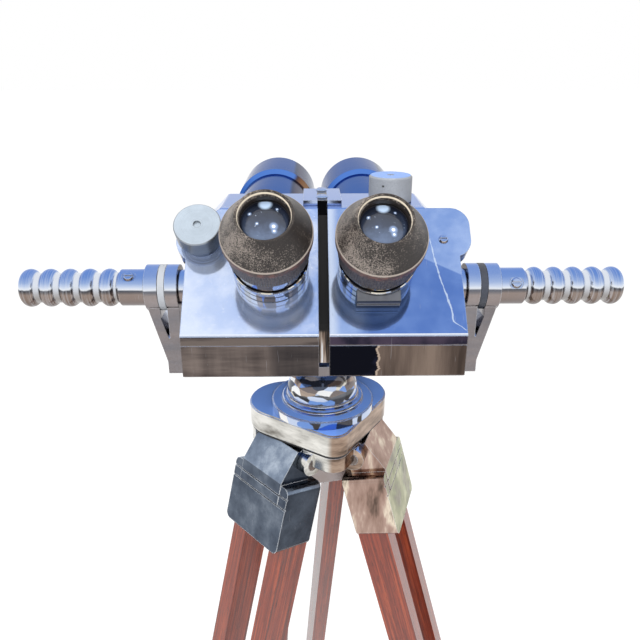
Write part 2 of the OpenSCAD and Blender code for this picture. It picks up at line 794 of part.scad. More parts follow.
module eyepiece_base(side)
{
    r = collar_d / 2;
    tube_r = eye_tube_d / 2;
    at_eye(side) rotate_extrude()
        polygon([[stem_d / 2, play], [r, play], [r, collar_h - 1], [r - 1, collar_h], [tube_r, collar_h],
                 [tube_r, eye_tube_top], [cell_in_d / 2 + 3 + fit, eye_tube_top],
                 [cell_in_d / 2 + 3 + fit, collar_h - 2], [stem_d / 2, collar_h - 2]]);
}
module left_eyepiece_base() { color("silver") eyepiece_base(-1); }
module right_eyepiece_base() { color("silver") eyepiece_base(1); }
module scale_block()
{
    depth = 8;
    z0 = play;
    h = 10.5;
    color("black") at_eye(1) difference() {
        translate([-scale_w / 2, -collar_d / 2 - depth + 4, z0]) cube([scale_w, depth + 4, h]);
        translate([-scale_w / 2 - 1, -collar_d / 2 - depth + 3, z0 + h * 0.42]) cube([scale_w + 2, 2.2, 2]);
        translate([0, 0, -1]) cylinder(r = collar_d / 2 + fit, h = h + 5);
    }
}
// The lens cell slides in the fixed tube, and the ring and cup turn on it
module lens_cell(side, out)
{
    r = cell_in_d / 2 + 3;
    at_eye(side) translate([0, 0, out]) rotate_extrude()
        polygon([[r - 4, collar_h + 4], [r, collar_h + 4], [r, cup_z], [cell_in_d / 2, cup_z],
                 [cell_in_d / 2, eye_h - 9], [lens_d / 2, eye_h - 9], [lens_d / 2, cup_z - 2],
                 [r - 4, cup_z - 2]]);
}
module left_lens_cell() { color("dimgray") lens_cell(-1, left_out); }
module right_lens_cell() { color("dimgray") lens_cell(1, 0); }
module eye_lens(side, out)
{
    at_eye(side) translate([0, 0, out + eye_h - 15]) lens(lens_d / 2, 6, 2.5, 1);
}
module left_eye_lens() { color("midnightblue", 0.6) eye_lens(-1, left_out); }
module right_eye_lens() { color("midnightblue", 0.6) eye_lens(1, 0); }
module focus_ring(side, out)
{
    at_eye(side) translate([0, 0, out]) difference() {
        translate([0, 0, ring_z]) cylinder(d = ring_d, h = ring_h);
        translate([0, 0, ring_z - 1]) cylinder(d = eye_tube_d + 2 * play, h = ring_h - 3);
        translate([0, 0, ring_z]) cylinder(r = cell_in_d / 2 + 3 + fit, h = ring_h + 1);
    }
}
module left_focus_ring() { color("dimgray") focus_ring(-1, left_out); }
module right_focus_ring() { color("dimgray") focus_ring(1, 0); }
module eyecup(side, out)
{
    r = cup_d / 2;
    hole = cell_in_d / 2 + fit;
    at_eye(side) translate([0, 0, out]) rotate_extrude()
        polygon([[hole, cup_z + play], [r - 1, cup_z + play], [r, cup_z + 1], [r, cup_z + cup_h],
                 [rim_d / 2 + 1, eye_h - 1], [rim_d / 2, eye_h], [lens_d / 2 + 0.5, eye_h],
                 [lens_d / 2 + 0.5, eye_h - 8], [hole, eye_h - 8]]);
}
module left_eyecup() { color("black") eyecup(-1, left_out); }
module right_eyecup() { color("black") eyecup(1, 0); }

// Controls
module ipd_knob()
{
    r = ipd_knob_d / 2;
    edge = 0.8;
    color("gainsboro") at_axis() at_slope() half(-1) ear_place() difference() {
        union() {
            translate([0, 0, play]) cylinder(d = ipd_neck_d, h = ipd_neck_h);
            translate([0, 0, ipd_neck_h]) rotate_extrude()
                polygon([[0, 0], [r - edge, 0], [r, edge], [r, ipd_knob_h - edge], [r - edge, ipd_knob_h],
                         [0, ipd_knob_h]]);
            translate([0, 0, -ear_depth - 2]) cylinder(d = knob_shaft_d, h = ear_depth + 4);
        }
        translate([0, 0, ipd_neck_h + ipd_knob_h - 1.5]) cylinder(r = 2.6, h = 3);
    }
}
module filter_knob()
{
    r = filter_d / 2;
    edge = 1.2;
    color("darkgray") at_axis() translate([filter_x, filter_y, top_z]) difference() {
        union() {
            translate([0, 0, play]) rotate_extrude()
                polygon([[0, 0], [r, 0], [r, filter_h - edge], [r - edge, filter_h], [0, filter_h]]);
            translate([0, 0, -wall - 6]) cylinder(d = knob_shaft_d, h = wall + 8);
        }
        translate([0, 0, filter_h - 1]) cylinder(r = 2.6, h = 3);
    }
}

// Legs: local +X is outward, -Z runs down the leg, Y is the hinge line
// Place in the leg's own XZ plane of a point given as outward from the hinge and up
function in_leg(out, up) =
    [out * cos(leg_spread) + up * sin(leg_spread), up * cos(leg_spread) - out * sin(leg_spread)];
// Rectangle about the middle of its top edge, hanging down, with round corners
module hanging_plate(w, h, r)
{
    steps = 6;
    quarter = 90 / steps;
    corners = [[w / 2 - r, -r, 0], [-w / 2 + r, -r, 90], [-w / 2 + r, r - h, 180], [w / 2 - r, r - h, 270]];
    polygon([for (c = corners, i = [0 : steps]) [c[0], c[1]] + polar(r, c[2] + quarter * i)]);
}
module leg_bracket(i)
{
    block_w = rails_w + 2 * bracket_wall;
    block_in = rail_t / 2 + bracket_wall / 2;
    // The sloping plate starts close under the gasket, over the hinge
    crest = in_leg(8.3, knuckle_r - 0.2);
    slope = leg_plate_slope - leg_spread;
    foot = crest + bracket_slope * [sin(slope), -cos(slope)];
    block_top = foot.y - 1.5;
    block_end = bracket_neck + bracket_block;
    neck_in = knuckle_r - bracket_neck_t;
    neck_end = -bracket_neck - 1;
    face_x = foot.x - 0.5;
    groove = 1;
    groove_pitch = 8.5;
    at_leg(i) difference() {
        union() {
            rotate([90, 0, 0]) cylinder(r = knuckle_r, h = knuckle_w, center = true);
            translate([0, knuckle_w / 2, 0]) rotate([90, 0, 0]) linear_extrude(knuckle_w)
                polygon([[neck_in, 0], [0, crest.y], crest, foot, [foot.x, neck_end], [neck_in, neck_end]]);
            translate([-block_in, 0, block_top]) rotate([90, 0, 90]) linear_extrude(block_in + face_x)
                hanging_plate(block_w, block_end + block_top, 5);
        }
        rotate([90, 0, 0]) cylinder(r = bolt_d / 2 + fit, h = knuckle_w + 2, center = true);
        for (n = [1, 2]) translate([face_x - groove, -block_w, block_top - groove_pitch * n])
            cube([2 * groove, 2 * block_w, groove]);
        for (s = [-1, 1]) translate([-rail_t / 2, s * rail_mid - rail_w / 2, -block_end - 1])
            cube([rail_t, rail_w, bracket_block - rail_roof + 1]);
    }
}
module rear_leg_bracket() { color("silver") leg_bracket(0); }
module left_leg_bracket() { color("silver") leg_bracket(1); }
module right_leg_bracket() { color("silver") leg_bracket(2); }
module leg_rails(i)
{
    top = bracket_neck + rail_roof;
    at_leg(i) for (s = [-1, 1]) translate([-rail_t / 2, s * rail_mid - rail_w / 2, -rail_end])
        cube([rail_t, rail_w, rail_end - top]);
}
module rear_leg_rails() { color("sienna") leg_rails(0); }
module left_leg_rails() { color("sienna") leg_rails(1); }
module right_leg_rails() { color("sienna") leg_rails(2); }
module leg_collar(i)
{
    w = rails_w + 2 * leg_wall;
    t = rail_t + 2 * leg_wall;
    screw_z = -rail_end + leg_collar_h / 2;
    at_leg(i) difference() {
        union() {
            translate([-t / 2, -w / 2, -rail_end - leg_wall]) cube([t, w, leg_collar_h]);
            translate([0, 0, screw_z]) along_x(t / 2) cylinder(d = clamp_boss_d, h = clamp_boss_h);
        }
        translate([-rail_t / 2, -rails_w / 2, -rail_end]) cube([rail_t, rails_w, leg_collar_h]);
        translate([-rail_t / 2 - play, -slat_w / 2 - play, -rail_end - big / 2])
            cube([rail_t + 2 * play, slat_w + 2 * play, big]);
        translate([0, 0, screw_z]) along_x(0) cylinder(r = bolt_d / 2 + fit, h = t);
    }
}
module rear_leg_collar() { color("silver") leg_collar(0); }
module left_leg_collar() { color("silver") leg_collar(1); }
module right_leg_collar() { color("silver") leg_collar(2); }
module leg_screw(i)
{
    x0 = rail_t / 2 + play + 0.1;
    x1 = rail_t / 2 + leg_wall + clamp_boss_h + play;
    wing = 24;
    wing_t = 6;
    at_leg(i) translate([0, 0, -rail_end + leg_collar_h / 2]) {
        along_x(x0) cylinder(d = bolt_d, h = x1 - x0 + 2);
        along_x(x1) cylinder(d = clamp_boss_d, h = wing_t + 2);
        translate([x1 + 1, -wing, -wing_t / 2]) cube([wing_t, 2 * wing, wing_t]);
        for (s = [-1, 1]) translate([0, s * wing, 0]) along_x(x1 + 1) cylinder(r = wing_t + 1, h = wing_t);
    }
}
module rear_leg_screw() { color("dimgray") leg_screw(0); }
module left_leg_screw() { color("dimgray") leg_screw(1); }
module right_leg_screw() { color("dimgray") leg_screw(2); }
module leg_slat(i)
{
    slat_end = shoe_top + shoe_socket;
    at_leg(i) translate([-rail_t / 2, -slat_w / 2, -slat_end]) cube([rail_t, slat_w, slat_end - slat_top]);
}
module rear_leg_slat() { color("sienna") leg_slat(0); }
module left_leg_slat() { color("sienna") leg_slat(1); }
module right_leg_slat() { color("sienna") leg_slat(2); }
module leg_shoe(i)
{
    w = slat_w + 2 * leg_wall;
    t = rail_t + 2 * leg_wall;
    spike_top = shoe_top + shoe_socket + 3 * leg_wall;
    spike_z = pad_h - 4;
    at_leg(i) {
        difference() {
            translate([-t / 2, -w / 2, -spike_top]) cube([t, w, spike_top - shoe_top]);
            translate([-rail_t / 2, -slat_w / 2, -shoe_top - shoe_socket]) cube([rail_t, slat_w, big]);
        }
        translate([0, 0, -leg_len + spike_z])
            cylinder(d1 = pad_d - 6, d2 = rail_t + 1, h = leg_len - spike_z - spike_top + 0.1);
        translate([0, 0, -leg_len]) rotate([0, leg_spread, 0]) cylinder(d = pad_d, h = pad_h);
    }
}
module rear_leg_shoe() { color("silver") leg_shoe(0); }
module left_leg_shoe() { color("silver") leg_shoe(1); }
module right_leg_shoe() { color("silver") leg_shoe(2); }

head_plate();
head_gasket();
leg_plate();
azimuth_spindle();
leg_bolts();
pedestal();
yoke();
left_prism_housing();
right_prism_housing();
left_prism_cover();
right_prism_cover();
bridge_casting();
body_screws();
left_objective_tube();
right_objective_tube();
left_sunshade();
right_sunshade();
objective_lenses();
trunnions();
friction_washers();
left_handle_socket();
right_handle_socket();
left_grip();
right_grip();
erecting_prisms();
left_prism_carrier();
right_prism_carrier();
left_rhomboid_prism();
right_rhomboid_prism();
left_eyepiece_base();
right_eyepiece_base();
scale_block();
left_lens_cell();
right_lens_cell();
left_eye_lens();
right_eye_lens();
left_focus_ring();
right_focus_ring();
left_eyecup();
right_eyecup();
ipd_knob();
filter_knob();
rear_leg_bracket();
left_leg_bracket();
right_leg_bracket();
rear_leg_rails();
left_leg_rails();
right_leg_rails();
rear_leg_collar();
left_leg_collar();
right_leg_collar();
rear_leg_screw();
left_leg_screw();
right_leg_screw();
rear_leg_slat();
left_leg_slat();
right_leg_slat();
rear_leg_shoe();
left_leg_shoe();
right_leg_shoe();
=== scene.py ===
# Looks of the observation binoculars on their tripod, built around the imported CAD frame
import json
import math

import bmesh
import bpy
from mathutils import Matrix, Vector


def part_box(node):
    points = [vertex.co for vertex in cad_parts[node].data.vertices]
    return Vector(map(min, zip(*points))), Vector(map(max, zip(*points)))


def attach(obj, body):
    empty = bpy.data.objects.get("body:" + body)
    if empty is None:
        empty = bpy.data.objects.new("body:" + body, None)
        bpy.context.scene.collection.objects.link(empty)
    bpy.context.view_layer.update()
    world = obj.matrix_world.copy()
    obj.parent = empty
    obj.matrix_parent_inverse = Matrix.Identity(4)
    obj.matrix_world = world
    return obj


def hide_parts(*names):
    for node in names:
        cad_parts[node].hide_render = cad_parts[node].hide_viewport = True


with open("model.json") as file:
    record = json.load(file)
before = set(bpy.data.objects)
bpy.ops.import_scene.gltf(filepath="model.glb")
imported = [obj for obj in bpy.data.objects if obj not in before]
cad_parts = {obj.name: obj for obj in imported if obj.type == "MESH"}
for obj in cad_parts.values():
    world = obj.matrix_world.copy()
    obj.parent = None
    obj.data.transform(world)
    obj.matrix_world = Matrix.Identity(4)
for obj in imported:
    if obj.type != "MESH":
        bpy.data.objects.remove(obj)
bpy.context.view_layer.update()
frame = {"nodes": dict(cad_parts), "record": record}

MM = 0.001
nodes = frame["nodes"]
joints = {j["name"]: j for j in frame["record"]["behaviour"]["joints"]}


def joint_place(name):
    return Vector(joints[name]["pos_m"])


# Places on the instrument
EYE_X = 36
EYE_S = 50
EYE_H = 64
LEFT_OUT = 4.5

axis_place = joint_place("elevation")
across = Vector((1, 0, 0))
slope_out = Vector(joints["left_focus_turn"]["axis"]).normalized()
slope_up = Vector((0, slope_out.z, -slope_out.y))
slope_zero = joint_place("left_focus_turn") - MM * (EYE_S * slope_up + EYE_H * slope_out - EYE_X * across)


def on_slope(x, s, n):
    """A place given across, up and out of the sloping face, in millimetres from its lower edge."""
    return slope_zero + MM * (x * across + s * slope_up + n * slope_out)


def from_axis(x, y, z):
    return axis_place + MM * Vector((x, y, z))


# Camera, at the photograph's place: behind the eyepieces and looking down at them
CAMERA_OFFSET = (-8.2, -446.9, 158.3)
CAMERA_DOWN = 22.5
CAMERA_TURN = -0.8

camera_data = bpy.data.cameras.new("camera")
camera_data.sensor_width = 36
camera_data.lens = 36
camera_data.clip_start = 0.01
camera = bpy.data.objects.new("camera", camera_data)
camera.location = from_axis(*CAMERA_OFFSET)
camera.rotation_euler = (math.radians(90 - CAMERA_DOWN), 0, math.radians(CAMERA_TURN))
bpy.context.scene.collection.objects.link(camera)
bpy.context.scene.camera = camera
bpy.context.scene.view_settings.view_transform = "Standard"


def paint(red, green, blue):
    """A colour as seen on screen, from 0 to 255, as the linear numbers that shaders use."""
    return tuple((c / 255 / 12.92) if c <= 10 else ((c / 255 + 0.055) / 1.055) ** 2.4
                 for c in (red, green, blue))


WHITE = (1, 1, 1)
UP = Vector((0, 0, 1))
REARWARD = Vector((0, -1, 0))


# Radius of the softened edges, in millimetres
EDGE_RADIUS = 0.9


# Materials
class Look:
    """A procedural material, with short calls that add nodes and return their output."""

    def __init__(self, name):
        self.material = bpy.data.materials.new(name)
        self.material.use_nodes = True
        self.tree = self.material.node_tree
        self.shader = self.tree.nodes["Principled BSDF"]

    def set(self, **values):
        for key, value in values.items():
            self.plug(self.shader.inputs[key.replace("_", " ")], value)
        return self

    def plug(self, socket, value):
        if isinstance(value, bpy.types.NodeSocket):
            self.tree.links.new(value, socket)
        elif socket.type == "RGBA":
            socket.default_value = (*value, 1)
        else:
            socket.default_value = value

    def add(self, kind, values=(), output=0, **settings):
        node = self.tree.nodes.new(kind)
        for key, value in settings.items():
            setattr(node, key, value)
        for index, value in enumerate(values):
            if value is not None:
                self.plug(node.inputs[index], value)
        return node.outputs[output]

    def math(self, operation, *values, clamp=False):
        return self.add("ShaderNodeMath", values, operation=operation, use_clamp=clamp)

    def times(self, first, second):
        return self.math("MULTIPLY", first, second)

    def scaled(self, value, factor, offset):
        return self.math("MULTIPLY_ADD", value, factor, offset)

    def without(self, mask):
        """The rest of a mask: 1 where it is 0."""
        return self.math("SUBTRACT", 1.0, mask)

    def dot(self, vector, direction):
        values = (vector, tuple(direction))
        return self.add("ShaderNodeVectorMath", values, output=1, operation="DOT_PRODUCT")

    def mix(self, share, low, high):
        node = self.tree.nodes.new("ShaderNodeMix")
        node.data_type = "RGBA"
        for index, value in zip((0, 6, 7), (share, low, high)):
            self.plug(node.inputs[index], value)
        return node.outputs[2]

    def ramp(self, value, stops, steps=False):
        node = self.tree.nodes.new("ShaderNodeValToRGB")
        if steps:
            node.color_ramp.interpolation = "CONSTANT"
        elements = node.color_ramp.elements
        while len(elements) < len(stops):
            elements.new(0.5)
        for element, (place, colour) in zip(elements, stops):
            element.position = place
            element.color = (*colour, 1)
        self.plug(node.inputs[0], value)
        return node.outputs[0]

    def point(self, scale=(1, 1, 1), turn=(0, 0, 0)):
        place = self.add("ShaderNodeTexCoord", output=3)
        return self.add("ShaderNodeMapping", (place, None, turn, scale))

    def noise(self, scale, detail=3.0, rough=0.5, point=None):
        return self.add("ShaderNodeTexNoise", (point or self.point(), None, scale, detail, rough))

    def step(self, value, low, high):
        """0 below low, 1 above high."""
        return self.add("ShaderNodeMapRange", (value, low, high), interpolation_type="SMOOTHSTEP")

    def band(self, value, centre, half, soft):
        """1 within half of centre, fading over soft."""
        away = self.math("ABSOLUTE", self.math("SUBTRACT", value, centre))
        return self.without(self.step(away, half, half + soft))

    def along(self, direction, origin):
        """Distance along a direction from an origin, in millimetres."""
        direction = direction.normalized()
        flat = self.dot(self.point(), direction / MM)
        return self.math("SUBTRACT", flat, direction.dot(origin) / MM)

    def around(self, direction, origin):
        """Distance from an axis, in millimetres."""
        offset = self.add("ShaderNodeVectorMath", (self.point(), tuple(origin)), operation="SUBTRACT")
        length = self.add("ShaderNodeVectorMath", (offset,), output=1, operation="LENGTH")
        flat = self.dot(offset, direction.normalized())
        square = self.math("SUBTRACT", self.times(length, length), self.times(flat, flat))
        return self.times(self.math("SQRT", self.math("MAXIMUM", square, 0.0)), 1 / MM)

    def rounded(self):
        """Normal that turns softly over the edges, so an edge catches the light as a small bevel does."""
        if not hasattr(self, "soft_normal"):
            node = self.tree.nodes.new("ShaderNodeBevel")
            node.samples = 4
            node.inputs["Radius"].default_value = EDGE_RADIUS * MM
            self.soft_normal = node.outputs[0]
        return self.soft_normal

    def facing(self, direction):
        return self.dot(self.rounded(), direction)

    def edge(self):
        """1 on the edges, 0 on the faces."""
        true = self.add("ShaderNodeNewGeometry", output=1)
        agree = self.add("ShaderNodeVectorMath", (self.rounded(), true), output=1, operation="DOT_PRODUCT")
        return self.without(self.step(agree, 0.9, 0.995))

    def spot(self, x, y, centre, size):
        """A soft round dot in a pair of coordinates."""
        place = self.add("ShaderNodeCombineXYZ", (x, y, 0.0))
        away = self.add("ShaderNodeVectorMath", (place, (*centre, 0.0)), output=1, operation="DISTANCE")
        return self.without(self.step(away, size * 0.6, size * 1.3))

    def both(self, *masks):
        """1 where every mask is 1."""
        total = masks[0]
        for mask in masks[1:]:
            total = self.times(total, mask)
        return total

    def bump(self, height, distance):
        """Height from 0 to 1 stands distance millimetres proud."""
        node = self.tree.nodes.new("ShaderNodeBump")
        node.inputs["Distance"].default_value = distance * MM
        self.plug(node.inputs["Height"], height)
        if hasattr(self, "soft_normal"):
            self.plug(node.inputs["Normal"], self.soft_normal)
        self.plug(self.shader.inputs["Normal"], node.outputs[0])


# What the bright metal mirrors, from straight down to straight up
SURROUNDINGS = [(0.0, paint(76, 64, 56)), (0.30, paint(116, 97, 82)), (0.46, paint(134, 115, 101)),
                (0.53, paint(74, 66, 62)), (0.57, paint(38, 40, 50)), (0.60, paint(238, 242, 248)),
                (0.66, paint(204, 217, 240)), (0.76, paint(146, 172, 220)), (0.88, paint(98, 138, 208)),
                (1.0, paint(76, 125, 207))]


def surroundings(look, upward):
    """Colour mirrored by a face, from -1 for one that looks down to 1 for one that looks up."""
    return look.ramp(look.scaled(upward, 0.5, 0.5), SURROUNDINGS)


def mirrored(look, wobble, grain):
    """The surroundings, with wavy borders."""
    patches = look.noise(1.0, 4.0, 0.6, look.point(grain))
    return surroundings(look, look.math("ADD", look.facing(UP), look.scaled(patches, wobble, -wobble / 2)))


def hairlines(look, turn, rarity):
    """Fine short scratches that lean one way, 0 or 1."""
    lines = look.noise(1.0, 2.0, 0.6, look.point((1500, 45, 45), (turn * 0.4, turn, turn)))
    return look.step(lines, rarity, rarity + 0.02)


def polished(name, haze=0.12, rough=0.09, wobble=0.25, grain=(20, 20, 60), haze_colour=paint(205, 212, 228),
             over=None, edges=0.45, metal=1.0):
    """Bright metal that shows sky, horizon and ground, painted on as reflections by the way each face
    looks.

    over(look, colour) paints what is special to a piece; edges sets the share of the painted highlight on
    its edges.
    """
    look = Look(name)
    colour = mirrored(look, wobble, grain)
    cloud = look.noise(32.0, 5.0, 0.65)
    fine = look.noise(1300.0, 2.0)
    lines = look.math("MAXIMUM", hairlines(look, 0.6, 0.73), hairlines(look, -0.9, 0.74))
    veil = look.math("MULTIPLY_ADD", fine, haze * 0.7, look.times(cloud, haze), clamp=True)
    colour = look.mix(veil, colour, haze_colour)
    if over:
        colour = over(look, colour)
    colour = look.mix(look.times(lines, 0.2), colour, paint(225, 230, 240))
    # Painted highlight along the edges, its share given by edges
    colour = look.mix(look.times(look.edge(), edges), colour, paint(236, 240, 246))
    look.set(Base_Color=colour, Metallic=metal, Roughness=look.scaled(cloud, 0.12, rough - 0.03))
    look.bump(look.scaled(lines, -0.3, look.noise(60.0)), 0.06)
    return look


# What turned metal mirrors, each colour from its own share of the patches
PATCHES = [(0.0, paint(30, 29, 32)), (0.14, paint(104, 85, 68)), (0.32, paint(160, 136, 112)),
           (0.44, paint(228, 221, 202)), (0.56, paint(246, 246, 244)), (0.68, paint(52, 54, 62)),
           (0.78, paint(104, 146, 216)), (0.9, paint(196, 210, 236))]


def turned_chrome(name, over=None, cells=1.7):
    """Polished turned metal: its curves gather sky, wood, ground and shade into sharp patches."""
    look = Look(name)
    wave = look.noise(30.0, 3.0, 0.55)
    waver = look.add("ShaderNodeCombineXYZ", (look.scaled(wave, 0.5, -0.25), 0.0, look.times(wave, 0.3)))
    bend = look.add("ShaderNodeVectorMath", (look.rounded(), waver), operation="ADD")
    view = look.add("ShaderNodeMapping", (bend, (0.3, 0.1, 0.2), None, (1.6, 1.6, 4.0)))
    cell = look.add("ShaderNodeTexVoronoi", (view, None, cells), output=1)
    patch = look.add("ShaderNodeSeparateColor", (cell,))
    colour = look.ramp(patch, PATCHES, steps=True)
    colour = look.mix(0.12, colour, surroundings(look, look.facing(UP)))
    # Faces that look straight up get a painted sky reflection, with little metal so that it shows under the
    # lamps
    tops = look.step(look.facing(UP), 0.93, 0.97)
    colour = look.mix(tops, colour, paint(120, 168, 255))
    colour = look.mix(look.times(look.noise(900.0, 2.0), 0.08), colour, paint(214, 218, 226))
    if over:
        colour = over(look, colour)
    look.set(Base_Color=colour, Metallic=look.scaled(tops, -0.9, 1.0),
             Roughness=look.scaled(wave, 0.08, 0.05))
    look.bump(wave, 0.05)
    return look


def flat_place(look):
    """Across and up coordinates on the sloping face, in millimetres."""
    return look.along(across, on_slope(0, 0, 0)), look.along(slope_up, on_slope(0, 0, 0))


def rear_side(look):
    """1 on faces that look straight back."""
    return look.step(look.facing(REARWARD), 0.9, 0.97)


def cover_face(look):
    """1 on the sloping face of a cover."""
    return look.step(look.facing(slope_out), 0.96, 0.99)


def lip_highlight(look, colour, s, lip):
    """Painted highlight: a bright line along the lower edge of a cover."""
    line = look.both(look.band(s, 0.7, 0.45, 0.4), look.step(look.facing(UP), 0.3, 0.5))
    return look.mix(line, colour, lip)


# The mirrored skyline on the right cover: a place on it, across and up, and its fall
SKYLINE = (69.9, 57.0, 0.508)
# The scratch on the right cover: places up and across, in a frame that the places fit in
SCRATCH_TOP = 80.0
SCRATCH_X = 70.0
SCRATCH_REACH = 30.0
SCRATCH = ((3.5, 94.2), (9.9, 86.2), (18.6, 85.5), (29.6, 83.0), (38.6, 80.3), (54.6, 77.3), (72.0, 75.0))


def scratch_line(look, x, s):
    """The long scratch: its place across is read from SCRATCH by the height, and it wanders a little."""
    places = [(up / SCRATCH_TOP, ((side - SCRATCH_X) / SCRATCH_REACH,) * 3) for up, side in SCRATCH]
    run = look.ramp(look.math("DIVIDE", s, SCRATCH_TOP), places)
    wander = look.scaled(look.noise(240.0, 4.0, 0.7), 2.2, -1.1)
    centre = look.scaled(run, SCRATCH_REACH, look.math("ADD", wander, SCRATCH_X))
    away = look.math("ABSOLUTE", look.math("SUBTRACT", x, centre))
    width = look.scaled(look.noise(160.0), 1.3, -0.3)
    line = look.without(look.step(look.math("SUBTRACT", away, width), 0.0, 0.35))
    return look.both(line, look.step(s, 3.0, 4.0), look.without(look.step(s, 70.0, 74.0)))


def clear_cover(look, colour):
    """Right cover: a painted reflection of the sky, darker low down behind a slanted edge, one long
    scratch, and a dark edge strip that is a painted dark reflection.
    """
    x, s = flat_place(look)
    start_x, start_s, fall = SKYLINE
    above = look.math("SUBTRACT", s, start_s)
    slant = look.scaled(look.math("SUBTRACT", x, start_x), fall, above)
    cloud = look.noise(26.0, 4.0, 0.6)
    # Painted reflection of the sky on the sloping face
    low = look.mix(look.step(cloud, 0.35, 0.65), paint(84, 118, 188), paint(108, 140, 204))
    high = look.mix(look.step(cloud, 0.35, 0.65), paint(122, 152, 210), paint(156, 180, 226))
    high = look.mix(look.without(look.step(x, 5.0, 12.0)), high, paint(196, 210, 236))
    face = cover_face(look)
    below = look.both(look.step(x, 22.0, 34.0), look.without(look.step(slant, -0.7, 0.7)))
    colour = look.mix(face, colour, look.mix(below, high, low))
    scratch = look.both(scratch_line(look, x, s), face)
    colour = look.mix(look.times(scratch, 0.75), colour, paint(206, 220, 242))
    colour = lip_highlight(look, colour, s, paint(232, 238, 248))
    # Rear edge strip: a painted dark reflection
    dark_reflection = look.mix(look.step(look.noise(40.0, 4.0), 0.4, 0.6), paint(26, 25, 42), paint(66, 56, 72))
    return look.mix(rear_side(look), colour, dark_reflection)


def hazy_cover(look, colour):
    """Left cover: worn hazy, with a painted sky reflection that is paler towards its left edge as painted
    sheen, pale specks, and a brown edge strip, a painted reflection, over a thin dark line.
    """
    x, s = flat_place(look)
    cloud = look.noise(22.0, 5.0, 0.62)
    face = cover_face(look)
    # Worn haze in patches, over a painted sky reflection
    wear_and_light = look.mix(look.step(cloud, 0.38, 0.66), paint(146, 173, 226), paint(204, 216, 242))
    # Paler towards the left edge: painted sheen
    pale = look.without(look.step(look.math("ADD", x, look.times(s, 0.4)), -80.0, 0.0))
    wear_and_light = look.mix(look.times(pale, 0.5), wear_and_light, paint(218, 228, 246))
    specks = look.step(look.noise(700.0, 3.0, 0.6), 0.66, 0.7)
    wear_and_light = look.mix(look.times(specks, 0.6), wear_and_light, paint(234, 240, 248))
    colour = look.mix(face, colour, wear_and_light)
    colour = lip_highlight(look, colour, s, paint(226, 234, 248))
    # Rear edge strip: brown streaks as a painted reflection, over a thin dark line
    up = look.along(UP, on_slope(0, 0, 0))
    dark = look.band(up, -0.6, 0.5, 0.4)
    streaks = look.step(look.noise(1.0, 4.0, 0.6, look.point((14, 14, 160))), 0.4, 0.6)
    brown = look.mix(streaks, paint(74, 66, 64), paint(104, 94, 89))
    return look.mix(rear_side(look), colour, look.mix(dark, brown, paint(38, 36, 44)))


def rear_wall(look, colour):
    """Rear faces of the housings, with what they mirror: streaked ground, and a dark shape near the gap."""
    x = look.along(across, axis_place)
    streaks = look.noise(1.0, 5.0, 0.62, look.point((9, 9, 70)))
    posts = look.noise(1.0, 4.0, 0.6, look.point((60, 60, 7)))
    left = look.ramp(look.scaled(posts, 0.35, look.times(streaks, 0.65)),
                     [(0.36, paint(60, 54, 53)), (0.5, paint(101, 91, 87)), (0.62, paint(127, 115, 109))])
    shade = look.times(look.step(look.scaled(streaks, 16.0, x), -33.0, -22.0), 0.62)
    left = look.mix(shade, left, paint(34, 35, 40))
    right = look.ramp(posts, [(0.34, paint(68, 58, 53)), (0.5, paint(104, 90, 82)),
                              (0.66, paint(130, 114, 103))])
    jag = look.scaled(look.noise(1.0, 4.0, 0.7, look.point((30, 30, 260))), 7.0, x)
    night = look.mix(look.step(look.noise(38.0, 3.0), 0.45, 0.6), paint(17, 18, 26), paint(36, 40, 62))
    right = look.mix(look.step(jag, 38.0, 38.8), night, right)
    right = look.mix(look.band(jag, 39.3, 0.5, 0.4), right, paint(176, 158, 142))
    wall = look.mix(look.step(x, -1.0, 1.0), left, right)
    return look.mix(rear_side(look), colour, wall)


def dark_gap(look, colour):
    """The web deep between the halves is painted black as painted shade; the rear edge of its plate shows
    the sky as a painted reflection.
    """
    x = look.along(across, axis_place)
    sky = look.mix(look.noise(60.0), paint(150, 172, 216), paint(206, 218, 240))
    colour = look.mix(rear_side(look), colour, sky)
    # Painted shade: black across the gap between the halves
    return look.mix(look.band(x, 0.0, 3.62, 0.05), colour, paint(12, 12, 14))


def gap_shades(look, tint):
    """Painted shade, black above; below the covers, a painted reflection of what the polished walls of the
    gap send back.
    """
    up = look.along(UP, axis_place)
    posts = look.noise(1.0, 3.0, 0.5, look.point((420, 420, 24)))
    metal = look.ramp(posts, [(0.38, paint(28, 26, 28)), (0.46, paint(104, 86, 74)),
                              (0.56, paint(172, 156, 144)), (0.64, paint(226, 226, 228))])
    return look.mix(look.step(up, -15.0, -18.0), tint, metal)


# What the objective tubes mirror, from their left side to their right side
TUBE_WAY = [(0.0, paint(58, 62, 80)), (0.05, paint(70, 108, 184)), (0.25, paint(88, 132, 214)),
            (0.72, paint(92, 134, 214)), (0.755, paint(84, 72, 74)), (0.80, paint(134, 98, 72)),
            (0.90, paint(152, 124, 98)), (0.96, paint(58, 50, 46))]


def deep_sky(look, colour):
    """Objective tubes: deep sky along the top, earth down the right side, thin dark edges."""
    round_way = look.ramp(look.scaled(look.facing(across), 0.5, 0.5), TUBE_WAY)
    return look.mix(look.step(look.facing(UP), 0.12, 0.3), colour, round_way)


# Heights of the dark bands above the sloping face: a painted contact shadow where the base meets it, then
# two grooves
BASE_DARK_BANDS = (0.4, 7.2, 14.3)


def base_bands(look, colour):
    """Dark bands round the eyepiece bases, a painted contact shadow at the foot and dark grooves above, and
    a bright band that is a painted highlight.
    """
    height = look.along(slope_out, on_slope(0, 0, 0))
    # Painted highlight band
    bright = look.mix(0.5, colour, paint(206, 212, 222))
    colour = look.mix(look.band(height, 11.2, 1.2, 0.4), colour, bright)
    # Painted contact shadow at the foot, then the dark grooves
    for band_height in BASE_DARK_BANDS:
        colour = look.mix(look.band(height, band_height, 0.45, 0.3), colour, paint(16, 16, 20))
    return colour


